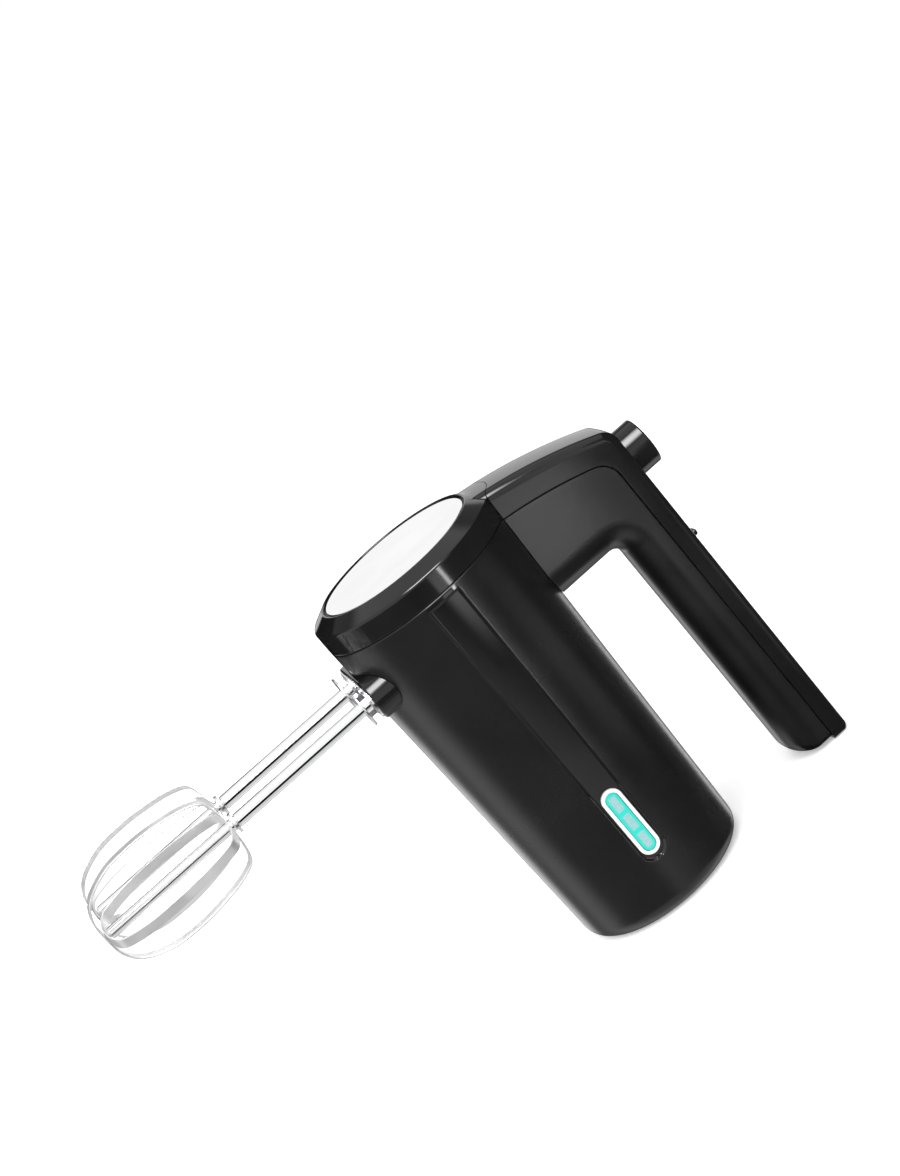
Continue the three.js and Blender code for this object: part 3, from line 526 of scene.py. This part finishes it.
# Each card's name, place, target, width, height, brightness and, for some, roll in degrees.
CARDS = [
    ("strip", (0.42, -1.10, -0.06), (0.01, -0.047, 0.18), 0.5, 0.14, 16, 90),
    ("overhead", (0.06, -0.52, 0.95), (0.0, 0.0, 0.16), 0.7, 0.85, 21),
    ("low", (0.02, -1.10, -0.47), (0.0, -0.045, 0.1), 0.7, 0.5, 0.7, -50),
    ("side", (0.115, -0.55, 0.03), (0.07, -0.016, 0.15), 0.14, 0.16, 1.9),
    ("glow", (0.30, -0.15, 0.01), (0.04, -0.035, 0.15), 0.2, 0.2, 0.4),
    ("rim_right", (0.78, 0.65, -0.30), (0.0, 0.0, 0.1), 0.7, 0.7, 3.2),
    ("rim_left", (-0.42, 0.90, -0.30), (0.0, 0.0, 0.1), 0.6, 0.6, 1.8),
    ("black_front", (-0.10, -0.50, -0.03), (-0.11, -0.018, 0.156), 0.21, 0.26, 0),
    ("black_behind", (-0.30, 0.35, 0.23), (-0.10, 0.0, 0.156), 0.44, 0.40, 0),
    ("black_above", (0.12, -0.70, 0.65), (0.08, -0.02, 0.18), 0.24, 0.25, 0),
    ("black_edge", (0.182, -0.28, 0.06), (0.106, -0.016, 0.10), 0.05, 0.24, 0),
    ("black_right", (0.35, -0.05, 0.10), (0.10, -0.05, 0.10), 0.80, 0.80, 0),
    # Painted shade: this black card on the floor under the arm, between the body and the grip, darkens the
    # floor that reflections show there.
    ("shade_card_below", (0.11, -0.14, 0.002), (0.11, -0.14, 0.1), 0.11, 0.26, 0),
]

bpy.context.scene.view_settings.view_transform = "Standard"
add_camera()
add_floor()
add_world()
add_sun()
for card in CARDS:
    add_panel(*card)

# ---------- body shell ----------


def channel_half(z):
    part = (max(z, CHANNEL_LOW_Z) - CHANNEL_LOW_Z) / (CHANNEL_TOP_Z - CHANNEL_LOW_Z)
    return CHANNEL_LOW_HALF + (CHANNEL_TOP_HALF - CHANNEL_LOW_HALF) * part


def channel_depth(across, z):
    """How deep the front channel is at a distance across it and a height. Its floor is flatter than the
    body."""
    half = channel_half(z)
    inside = half - abs(across)
    if z < CHANNEL_LOW_Z:
        inside = half - math.hypot(across, z - CHANNEL_LOW_Z)
    t = min(inside / CHANNEL_WALL, (CHANNEL_TOP_Z - z) / CHANNEL_WALL, 1.0)
    if t <= 0:
        return 0.0
    return t * t * (3 - 2 * t) * (CHANNEL_DEPTH - CHANNEL_FLATTENED * (across / half) ** 2)


def heights(low, high, step):
    count = max(1, round((high - low) / step))
    return [low + (high - low) * i / count for i in range(count)]


def body_outline():
    """The shell's closed outline as (radius, height, on the outer face)."""
    f = BASE_FILLET
    edge = 0.5
    outer = [(r, z, False) for r, z in arc(BASE_R - f, f, f, -90, 0, 14)]
    channel_end = CHANNEL_LOW_Z - CHANNEL_LOW_HALF
    # (from, to, step): rows stand closer together where the channel ends.
    spans = [
        (f, channel_end - 1, 3.0), (channel_end - 1, 42, 0.4), (42, 172, 3.2),
        (172, CHANNEL_TOP_Z + 0.6, 0.2), (CHANNEL_TOP_Z + 0.6, SEAM_Z - 2 * edge, 0.5),
    ]
    rows = [z for low, high, step in spans for z in heights(low, high, step)][1:]
    outer += [(body_r(z), z, True) for z in rows]
    outer += [(r, z, False) for r, z in arc(body_r(SEAM_Z - edge) - edge, SEAM_Z - edge, edge, 0, 90, 4)]
    inner_low = f + 3
    inner = [(TOP_R - WALL, SEAM_Z), (body_r(100) - WALL, 100), (body_r(f) - WALL, inner_low)]
    ledge = [(BASE_R - 6.2, 6.5), (LEDGE_R, 6.5), (LEDGE_R, 2.7), (COVER_R + GAP, 2.7), (COVER_R + GAP, 0.3)]
    return outer + [(r, z, False) for r, z in inner + ledge]


PAST_CHANNEL = 360 - 2 * 12  # degrees of the body's turn that body_columns counts as past the channel


def body_columns():
    """Places round the body, as (part of the channel's half width, degrees past it from the front), so that
    columns follow the channel's tapering sides. They stand close together on its walls."""
    wall = CHANNEL_WALL / CHANNEL_TOP_HALF
    inner = [-(1 - wall) + 2 * (1 - wall) * i / 44 for i in range(45)]
    edge = [1 - wall * (1 - i / 7) for i in range(1, 8)]
    across = [-p for p in reversed(edge)] + inner + edge
    return [(p, 0.0) for p in across] + [(1.0, 1.0 + (PAST_CHANNEL - 2) * i / 130) for i in range(131)]


def body_angle(column, r, z):
    part, past = column
    edge = math.degrees(channel_half(z) / r)
    if not past:
        return math.radians(-90 + part * edge)
    free = 360 - 2 * edge
    return math.radians(-90 + edge + free * past / PAST_CHANNEL)


def body_shell():
    outline = body_outline()
    rings = []
    for column in body_columns():
        ring = []
        for r, z, outer in outline:
            a = body_angle(column, r, z)
            from_front = math.remainder(a + math.pi / 2, 2 * math.pi)
            depth = channel_depth(r * from_front, z) if outer and abs(from_front) < 0.3 else 0.0
            ring.append(((r - depth) * math.cos(a), (r - depth) * math.sin(a), z))
        rings.append(ring)
    shell = loft("body_shell_piece", rings, capped=False)
    lamp_hole = stadium(0, LAMP_Z, LAMP_LENGTH + 2 * GAP, LAMP_WIDTH + 2 * GAP, True)
    neck_width = 2 * (NECK_R + GAP)
    neck_hole = stadium(0, BEATER_Z, 2 * BEATER_Y + neck_width, neck_width, False)
    cut(shell, prism("cutter", lamp_hole, "Y", *THROUGH_FRONT))
    cut(shell, prism("cutter", neck_hole, "X", *THROUGH_BEATER_SIDE))
    for hole in (
        arc(0, EJECT_Z, ROD_IN_BODY_R, 0, 345, 23),
        stadium(0, LEAD_Z, LEAD_WIDTH, LEAD_HEIGHT, False),
        stadium(0, CHARGE_Z, CHARGE_WIDTH, CHARGE_HEIGHT, False),
    ):
        cut(shell, prism("cutter", hole, "X", *THROUGH_HANDLE_SIDE))
    finish_piece(shell, MATERIALS["body_black"], "housing", "gloss_black", "body_shell", angle=40)


body_shell()

# ---------- handle ----------


def arm_top(x):
    """The height of the arm's top, which falls towards the knob in a curve."""
    return 190.5 - 0.17 * (x - 50) - 0.00213 * (x - 50) ** 2


def arm_seam(x):
    """The height of the seam between the cover and the grip along the arm."""
    return 176.2 - 0.11 * (x - 44) - 0.00236 * (x - 44) ** 2


def steps_between(start, end, count):
    return [start + (end - start) * i / count for i in range(count + 1)]


def cover_corners():
    """(x, z, radius, side) corners; side says how the edge that leaves the corner moves in."""
    seam_x = SEAM_X + GAP
    top = [(x, arm_top(x), 0, "outer") for x in steps_between(ARM_START_X, 94, 20)]
    seam = [(x, arm_seam(x) + GAP, 0, "seam") for x in steps_between(SEAM_TURN_X, ARM_START_X, 16)]
    seam[-1] = (*seam[-1][:3], "end")
    turn = [
        (OUTER_X, arm_top(OUTER_X), 8, "outer"),
        (FOOT_X, 0, 3, "foot"),
        (seam_x, 0, 0, "seam"),
        (seam_x, arm_seam(SEAM_X) + GAP, 10, "seam"),
    ]
    return top + turn + seam


def grip_corners():
    seam = [(x, arm_seam(x), 0, "seam") for x in steps_between(ARM_START_X, SEAM_TURN_X, 16)]
    turn = [
        (SEAM_X, arm_seam(SEAM_X), 10, "seam"),
        (SEAM_X, 0, 0, "foot"),
        (INNER_X, 0, 11.5, "inner"),
        (INNER_X, ARM_Z, 5.5, "inner"),
        (ARM_START_X, ARM_Z, 0, "end"),
    ]
    return seam + turn


def moved_outline(corners, distance, steps=10):
    """The outline with every edge moved in by its side's distance. The corners run clockwise as seen
    from -Y."""
    n = len(corners)
    edges = []
    for i, (x, z, _, side) in enumerate(corners):
        nx, nz = corners[(i + 1) % n][:2]
        along = Vector((nx - x, nz - z)).normalized()
        inward = Vector((along.y, -along.x))
        edges.append((along, Vector((x, z)) + inward * distance[side], inward, distance[side]))
    out = []
    for i, (_, _, radius, _) in enumerate(corners):
        before, after = edges[i - 1], edges[i]
        turn = before[0].x * after[0].y - before[0].y * after[0].x
        gap = after[1] - before[1]
        meet = before[1] + before[0] * ((gap.x * after[0].y - gap.y * after[0].x) / turn)
        if not radius:
            out.append((meet.x, meet.y))
            continue
        side = 1 if turn < 0 else -1
        r = max(radius - side * max(before[3], after[3]), 0.4)
        half = before[0].angle(after[0]) / 2
        start = meet - before[0] * (r * math.tan(half))
        centre = start + before[2] * (side * r)
        for k in range(steps + 1):
            p = centre + Matrix.Rotation(-side * 2 * half * k / steps, 2) @ (start - centre)
            out.append((p.x, p.y))
    return out


def handle_levels(edge, inset):
    """Distances across the handle with how far the outer edges have moved in there."""
    half = HALF_WIDTH - inset
    turns = [math.pi / 2 * (1 - i / 12) for i in range(13)]
    side = [(-(half - edge) - edge * math.sin(a), edge * (1 - math.cos(a))) for a in turns]
    flat = [(y, 0.0) for y in steps_between(-(half - edge), half - edge, 6)[1:-1]]
    return side + flat + [(-y, d) for y, d in reversed(side)]


def handle_solid(name, corners, edge, inset=0.0, crown=0.0):
    """A solid across the handle's width inside an outline, rounded over at its sides. Inset makes it the
    hollow within a wall, and crown bows its outer faces."""
    rings = []
    for y, d in handle_levels(edge, inset):
        past = max(0.0, abs(y) - (HALF_WIDTH - SEAM_ROUND)) / SEAM_ROUND
        seam = SEAM_ROUND * (1 - math.sqrt(max(0.0, 1 - past * past)))
        crowned = d + crown * (y / HALF_WIDTH) ** 2
        open_side = -2.0 if inset else seam
        distance = {
            "outer": inset + crowned,
            "inner": inset + crowned,
            "foot": inset + 0.3 * d,
            "seam": open_side,
            "end": -2.0 if inset else 0.0,
        }
        rings.append([(x, y, z) for x, z in moved_outline(corners, distance)])
    return loft(name, rings)


def outside_body():
    """The body with its gap, which trims what meets it."""
    outline = [(0, -1), (body_r(BASE_FILLET) + GAP, -1), (body_r(BASE_FILLET) + GAP, BASE_FILLET),
               (body_r(215) + GAP, 215), (0, 215)]
    return turned("cutter", outline, 192)


def upright_post(radius, low=SEAM_Z - 4, high=210.0):
    outline = [(0, low), (radius, low), (radius, high), (0, high)]
    return turned("cutter", outline, 192, centre=(TONGUE_X, 0, 0))


def handle_cover():
    cover = handle_solid("handle_cover_piece", cover_corners(), OUTER_ROUND, crown=0.5)
    hollow = handle_solid("cutter", cover_corners(), OUTER_ROUND - WALL, inset=WALL)
    half, reach = 4.7, 7.5
    low, high = SLIDER_Z - reach, SLIDER_Z + reach + SLIDER_TRAVEL
    window = rounded([(-half, low, 1.2), (half, low, 1.2), (half, high, 1.2), (-half, high, 1.2)])
    knob_hole = arc(0, EJECT_Z, KNOB_R + 0.35, 0, 357, 119)
    cut(cover, hollow)
    cut(cover, prism("cutter", window, "X", *THROUGH_COVER), prism("cutter", knob_hole, "X", *THROUGH_COVER))
    cut(cover, outside_body(), upright_post(TONGUE_R + GAP))
    finish_piece(cover, MATERIALS["gloss_black"], "housing", "gloss_black", "handle_cover")


def grip_shell():
    """The grip's half, with the guide wall inside it that the eject spring rests on."""
    grip = handle_solid("grip_shell_piece", grip_corners(), INNER_ROUND)
    hollow = handle_solid("cutter", grip_corners(), INNER_ROUND - WALL, inset=WALL)
    cut(grip, hollow)
    half, low, high = GUIDE_HALF, ARM_Z + 1.5, GUIDE_TOP_Z
    outline = [(-half, low), (half, low), (half, high), (-half, high)]
    guide = prism("guide", outline, "X", GUIDE_LOW_X, GUIDE_HIGH_X)
    boolean(guide, handle_solid("inside", grip_corners(), INNER_ROUND, inset=1), "INTERSECT")
    boolean(grip, guide, "UNION")
    low_x, high_x = THROUGH_GUIDE
    rod_outline = [(0, low_x), (ROD_IN_GUIDE_R, low_x), (ROD_IN_GUIDE_R, high_x), (0, high_x)]
    rod_hole = turned("cutter", rod_outline, 48, "X", (0, 0, EJECT_Z))
    lead_hole = prism("cutter", stadium(0, LEAD_Z, LEAD_WIDTH, LEAD_HEIGHT, False), "X", low_x, high_x)
    cut(grip, outside_body(), rod_hole, lead_hole)
    finish_piece(grip, MATERIALS["satin_black"], "housing", "satin_black", "grip_shell")


handle_cover()
grip_shell()

# ---------- nose ring and disc ----------


def nose_ring():
    base = SEAM_Z + GAP
    outline = rounded([
        (33, 188, 0), (43.2, 184, 0), (43.2, 173, 0), (44.9, 173, 0), (44.9, base, 0),
        (TOP_R, base, 0.4), (TOP_R, CREASE_Z, 1.6), (DISC_R, RING_TOP_Z, 0.7), (DISC_R, SEAT_Z, 0),
        (33, SEAT_Z, 0),
    ])
    ring = turned("nose_ring_piece", outline, 224)
    tongue = handle_solid("tongue", cover_corners(), OUTER_ROUND, crown=0.5)
    boolean(tongue, upright_post(TONGUE_R, base), "INTERSECT")
    inside = turned("cutter", [(0, 170), (DISC_R + 1.5, 170), (DISC_R + 1.5, 210), (0, 210)], 224)
    cut(tongue, inside)
    boolean(ring, tongue, "UNION")
    finish_piece(ring, MATERIALS["gloss_black"], "housing", "gloss_black", "nose_ring")


def nose_disc():
    r = DISC_R - 1.1
    edge = 0.5
    outline = [(0, DISC_LOW_Z), (r, DISC_LOW_Z)]
    outline += arc(r - edge, DISC_TOP_Z - edge, edge, 0, 90, 6) + [(0, DISC_TOP_Z)]
    disc = turned("nose_disc_piece", outline, 224)
    finish_piece(disc, MATERIALS["mirror_metal"], "housing", "mirror_metal", "nose_disc")


nose_ring()
nose_disc()

# ---------- base ----------


def on_screw_circle(index):
    a = math.radians(30 + 120 * index)
    return Vector((SCREW_CIRCLE * math.cos(a), SCREW_CIRCLE * math.sin(a), 0))


def base_cover():
    edge = 0.5
    outline = [(0, 0), (COVER_R - edge, 0)] + arc(COVER_R - edge, edge, edge, -90, 0, 5)
    cover = turned("base_cover_piece", outline + [(COVER_R, 2.4), (0, 2.4)], 160)
    for i in range(3):
        sink = [(0, -1), (3.5, -1), (3.5, 0), (3.1, 0.4), (3.1, 1.4), (1.9, 1.4), (1.9, 4), (0, 4)]
        cut(cover, turned("cutter", sink, 48, centre=on_screw_circle(i)))
    groove = turned("cutter", [(23.5, -1), (24.1, -1), (24.1, 0.35), (23.5, 0.35)], 160)
    cut(cover, groove)
    finish_piece(cover, MATERIALS["satin_black"], "housing", "satin_black", "base_cover")


def base_screw(index):
    outline = [(0, 0.2), (2.1, 0.2)] + arc(2.2, 0.7, 0.5, -90, 0, 4)
    outline += [(2.7, 1.1), (1.3, 1.5), (1.3, 5.6), (0, 6.3)]
    place = on_screw_circle(index)
    screw = turned(f"base_screw_{index + 1}_piece", outline, 40, centre=place)
    for turn in (0, 90):
        arm = rounded([(-1.5, -0.3, 0.1), (1.5, -0.3, 0.1), (1.5, 0.3, 0.1), (-1.5, 0.3, 0.1)], 2)
        spin = Matrix.Rotation(math.radians(turn + 20), 3, "Z")
        cross = loft("cutter", [[spin @ Vector((x, y, z)) + place for x, y in arm] for z in (-0.5, 1.0)])
        cut(screw, cross)
    finish_piece(screw, MATERIALS["steel"], "housing", "steel", f"base_screw_{index + 1}")


base_cover()
for screw_index in range(3):
    base_screw(screw_index)

# ---------- beater sockets ----------


def pair_stadium(x, radius):
    return [(x, y, z) for y, z in stadium(0, BEATER_Z, 2 * (BEATER_Y + radius), 2 * radius, False, 40)]


def pair_bores(radius):
    circles = [arc(y, BEATER_Z, radius, 0, 356, 89) for y, _ in SIDES.values()]
    return [prism("cutter", circle, "X", *THROUGH_BEATER_SIDE) for circle in circles]


def socket_boss():
    edge = 0.9
    turns = [math.pi / 2 * (1 - i / 6) for i in range(7)]
    front = [(BOSS_X + edge - edge * math.sin(a), BOSS_R - edge + edge * math.cos(a)) for a in turns]
    boss = loft("socket_boss_piece", [pair_stadium(x, r) for x, r in front + [(-34, BOSS_R)]])
    cut(boss, outside_body())
    neck = loft("neck", [pair_stadium(x, NECK_R) for x in (BOSS_X + 1, NECK_X)])
    boolean(boss, neck, "UNION")
    cut(boss, *pair_bores(BORE_R))
    finish_piece(boss, MATERIALS["gloss_black"], "housing", "gloss_black", "socket_boss")


def socket_plate():
    rings = [pair_stadium(x, r) for x, r in ((-49.3, 8.4), (-49.22, 8.6), (-48.8, 8.6))]
    plate = loft("socket_plate_piece", rings)
    cut(plate, *pair_bores(6.6))
    finish_piece(plate, MATERIALS["mirror_metal"], "housing", "mirror_metal", "socket_plate")


socket_boss()
socket_plate()

# ---------- charge lamp ----------


def wrapped_prism(name, length, width, outer, inner, edge=0.25):
    """A stadium that follows the body: its front face stands at a depth below the body's surface."""
    def at(u, v, depth):
        r = body_r(v) - depth
        return (u, -math.sqrt(max(0.0, r * r - u * u)), v)

    def ring(shrink, depth):
        outline = stadium(0, LAMP_Z, length - 2 * shrink, width - 2 * shrink, True, 20)
        return [at(u, v, depth) for u, v in outline]

    turns = [math.pi / 2 * i / 4 for i in range(5)]
    front = [ring(edge * (1 - math.sin(a)), outer + edge * (1 - math.cos(a))) for a in turns]
    back = [ring(0, outer + edge), ring(0, inner)]
    return loft(name, front[:-1] + back)


def lamp():
    rim = wrapped_prism("lamp_rim_piece", LAMP_LENGTH, LAMP_WIDTH, 0.15, 2.6, 0.35)
    opening = stadium(0, LAMP_Z, LAMP_LENGTH - 2 * LAMP_RIM, LAMP_WIDTH - 2 * LAMP_RIM, True, 20)
    cut(rim, prism("cutter", opening, "Y", *THROUGH_FRONT))
    finish_piece(rim, MATERIALS["lamp_white"], "housing", "lamp_white", "lamp_rim")
    length, width = LAMP_LENGTH - 2 * LAMP_RIM - 0.5, LAMP_WIDTH - 2 * LAMP_RIM - 0.5
    lens = wrapped_prism("lamp_lens_piece", length, width, 0.45, 2.6, 0.4)
    finish_piece(lens, MATERIALS["lamp_lens"], "housing", "lamp_lens", "lamp_lens")


lamp()

# ---------- eject button and speed slider ----------


def eject_knob():
    edge = 0.8
    dish_r, dish_depth = 9.6, 0.35
    dish = []
    for r in steps_between(0, dish_r, 10):
        dish.append((r, KNOB_TOP_X - dish_depth * math.cos(math.pi / 2 * min(1.0, r / dish_r)) ** 2))
    outline = [(0, KNOB_LOW_X), (KNOB_R, KNOB_LOW_X)]
    outline += arc(KNOB_R - edge, KNOB_TOP_X - edge, edge, 0, 90, 8)
    outline += [(10.0, KNOB_TOP_X)] + dish[::-1]
    knob = turned("eject_knob_piece", outline, 160, axis="X", centre=(0, 0, EJECT_Z))
    hole = [(0, 100), (ROD_IN_KNOB_R, 100), (ROD_IN_KNOB_R, 108.3), (0, 108.3)]
    cut(knob, turned("cutter", hole, 48, axis="X", centre=(0, 0, EJECT_Z)))
    finish_piece(knob, MATERIALS["gloss_black"], "ejector", "gloss_black", "eject_knob")


def rounded_pad(name, half_y, low_z, high_z, low_x, high_x, radius, edge):
    """A pad with round corners, whose edge is rounded over towards its outer face."""
    rings = []
    for i in range(6):
        a = math.pi / 2 * i / 5
        shrink, x = edge * (1 - math.cos(a)), high_x - edge * (1 - math.sin(a))
        y, low, high, r = half_y - shrink, low_z + shrink, high_z - shrink, radius - shrink
        outline = rounded([(-y, low, r), (y, low, r), (y, high, r), (-y, high, r)])
        rings.append([(x, v, w) for v, w in outline])
    back = [(low_x, v, w) for _, v, w in rings[0]]
    return loft(name, [back] + rings)


def speed_slider():
    z = SLIDER_Z
    pad = rounded_pad("speed_slider_piece", 4.3, z - 7, z + 7, 102.8, 105.7, 1.1, 0.4)
    rib = rounded_pad("rib", 3.0, z - 1.6, z + 1.6, 104.5, 109, 1.4, 1.0)
    boolean(pad, rib, "UNION")
    plate = rounded_pad("plate", 7, z - 19, z + 21, 101.3, 103, 1.0, 0.3)
    peg = rounded_pad("peg", 1.4, z - 6, z - 3.6, 99.8, 102.2, 0.4, 0.2)
    boolean(pad, plate, "UNION")
    boolean(pad, peg, "UNION")
    finish_piece(pad, MATERIALS["satin_black"], "speed_slider", "satin_black", "speed_slider")


eject_knob()
speed_slider()

# ---------- eject spring ----------

SPRING_R, WIRE_R, SPRING_TURNS = 4.4, 0.5, 6
SPRING_LOW, SPRING_HIGH = 63.4, 87.1


def eject_spring():
    """A wound wire between the guide wall and the rod's flange. It rides with the rod."""
    steps = SPRING_TURNS * 32
    rings = []
    for k in range(steps + 1):
        a = 2 * math.pi * SPRING_TURNS * k / steps
        x = SPRING_LOW + (SPRING_HIGH - SPRING_LOW) * k / steps
        out = Vector((0, math.cos(a), math.sin(a)))
        middle = Vector((x, 0, EJECT_Z)) + out * SPRING_R
        ring = []
        for j in range(12):
            b = 2 * math.pi * j / 12
            ring.append(middle + out * (WIRE_R * math.cos(b)) + Vector((WIRE_R * math.sin(b), 0, 0)))
        rings.append(ring)
    spring = loft("eject_spring_piece", rings)
    finish_piece(spring, MATERIALS["steel"], "ejector", "steel", "eject_spring")
    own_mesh(spring)


eject_spring()

# ---------- beaters ----------

# Half of a blade's middle line from the tip, as (x, radius). The first point is a hair short of the tip
# in the frame, so that the smooth curve through these points doesn't pass it.
BLADE_LINE = [
    (-198.18, 0), (-197.4, 9.7), (-192.6, 17.6), (-180, 23.7), (-167, 25.1),
    (-153, 24.4), (-137, 21.2), (-130.8, 17.6), (-128.6, 10.7), (-127.9, 3.3),
]
BLADE_WIDTH, BLADE_THICK = 5.0, 1.0
COLLAR_X, FERRULE_X, SHAFT_R, CORE_R = -53.6, -127.0, 3.25, 2.8


def between(first, second, start, end, u):
    """The point between two, at u on a scale that runs from start to end."""
    return first * ((end - u) / (end - start)) + second * ((u - start) / (end - start))


def curve_through(points, per_span):
    """A centripetal curve through the points."""
    ends = [points[0] * 2 - points[1]] + points + [points[-1] * 2 - points[-2]]
    out = []
    for i in range(1, len(ends) - 2):
        p = ends[i - 1:i + 3]
        t = [0.0]
        for a, b in zip(p, p[1:]):
            t.append(t[-1] + math.sqrt((b - a).length))
        for k in range(per_span):
            u = t[1] + (t[2] - t[1]) * k / per_span
            a = [between(p[j], p[j + 1], t[j], t[j + 1], u) for j in range(3)]
            b = [between(a[j], a[j + 1], t[j], t[j + 2], u) for j in range(2)]
            out.append(between(b[0], b[1], t[1], t[2], u))
    return out + [points[-1]]


def in_place(side, p):
    """A point of a beater drawn about its own axis, turned and carried to its side."""
    y, turn = SIDES[side]
    return Matrix.Rotation(math.radians(-turn), 3, "X") @ Vector(p) + Vector((0, y, BEATER_Z))


def blade(side, which, behind, quarter):
    """One U-shaped strip. The inner one lies a little behind the outer, a quarter turn round from it."""
    half = [Vector((x + (behind if i < 2 else 0), r)) for i, (x, r) in enumerate(BLADE_LINE)]
    mirrored = [Vector((p.x, -p.y)) for p in reversed(half[1:])]
    line = curve_through(mirrored + half, 9)
    section = rounded([
        (-BLADE_THICK, -BLADE_WIDTH / 2, 0.35), (0, -BLADE_WIDTH / 2, 0.35),
        (0, BLADE_WIDTH / 2, 0.35), (-BLADE_THICK, BLADE_WIDTH / 2, 0.35),
    ], 3)
    rings = []
    for i, p in enumerate(line):
        along = (line[min(i + 1, len(line) - 1)] - line[max(i - 1, 0)]).normalized()
        out = Vector((-along.y, along.x))
        ring = []
        for depth, across in section:
            x, reach = p + out * depth
            point = (x, across, reach) if not quarter else (x, reach, -across)
            ring.append(in_place(side, point))
        rings.append(ring)
    strip = loft(f"beater_blade_{which}_{side}_piece", rings)
    node = f"beater_blade_{which}_{side}"
    finish_piece(strip, MATERIALS["brushed_metal"], f"beater_{side}", "mirror_metal", node)


def turned_part(side, node, outline, segments=64):
    """A closed (radius, x) outline turned about a beater's axis."""
    rings = []
    for k in range(segments):
        a = 2 * math.pi * k / segments
        rings.append([in_place(side, (x, r * math.cos(a), r * math.sin(a))) for r, x in outline])
    return loft(f"{node}_{side}_piece", rings, capped=False)


def beater_shaft(side):
    step, tip, rear = FERRULE_X + 2.6, -195.4, -18.0
    outline = [(0, tip), (CORE_R - 0.5, tip), (CORE_R, tip + 0.6), (CORE_R, step), (SHAFT_R - 0.15, step)]
    outline += [(SHAFT_R, step + 0.2), (SHAFT_R, rear - 0.8), (SHAFT_R - 0.8, rear), (0, rear)]
    shaft = turned_part(side, "beater_shaft", outline)
    finish_piece(shaft, MATERIALS["mirror_metal"], f"beater_{side}", "mirror_metal", f"beater_shaft_{side}")


def beater_collar(side):
    low, high, bore = COLLAR_X - 0.5, COLLAR_X + 0.6, SHAFT_R + 0.02
    disc = rounded([(4.6, low, 0), (9.1, low, 0.35), (9.1, high, 0.35)], 4)[1:]
    outline = [(bore, low)] + disc + [(bore, high)]
    collar = turned_part(side, "beater_collar", outline, 96)
    wing = rounded([(COLLAR_X, -0.6, 0), (-48, -0.6, 0.3), (-48, 0.6, 0.3), (COLLAR_X, 0.6, 0)], 3)
    rings = [[in_place(side, (x, y, z)) for x, y in wing] for z in (-5.6, 5.6)]
    boolean(collar, loft("wing", rings), "UNION")
    inside = turned_part(side, "cutter", [(0, -60), (bore, -60), (bore, -40), (0, -40)])
    cut(collar, inside)
    node = f"beater_collar_{side}"
    finish_piece(collar, MATERIALS["pressed_metal"], f"beater_{side}", "mirror_metal", node)


def beater_ferrule(side):
    x, bore = FERRULE_X, CORE_R + 0.02
    corners = [(4.9, x, 0.45), (4.9, x + 1.0, 0.45), (3.8, x + 1.3, 0.2), (3.8, x + 2.3, 0.3)]
    outline = [(bore, x)] + rounded(corners, 4)
    ferrule = turned_part(side, "beater_ferrule", outline + [(bore, x + 2.3)])
    node = f"beater_ferrule_{side}"
    finish_piece(ferrule, MATERIALS["pressed_metal"], f"beater_{side}", "mirror_metal", node)


for side_name in SIDES:
    blade(side_name, "outer", 0.0, False)
    blade(side_name, "inner", BLADE_THICK + GAP, True)
    beater_shaft(side_name)
    beater_collar(side_name)
    beater_ferrule(side_name)

# ---------- the frame's own nodes keep their shapes and take their finishes ----------

for part in frame["record"]["subparts"]:
    for slot in frame["nodes"][part["node"]].material_slots:
        slot.material = MATERIALS[part["material_slot"]]
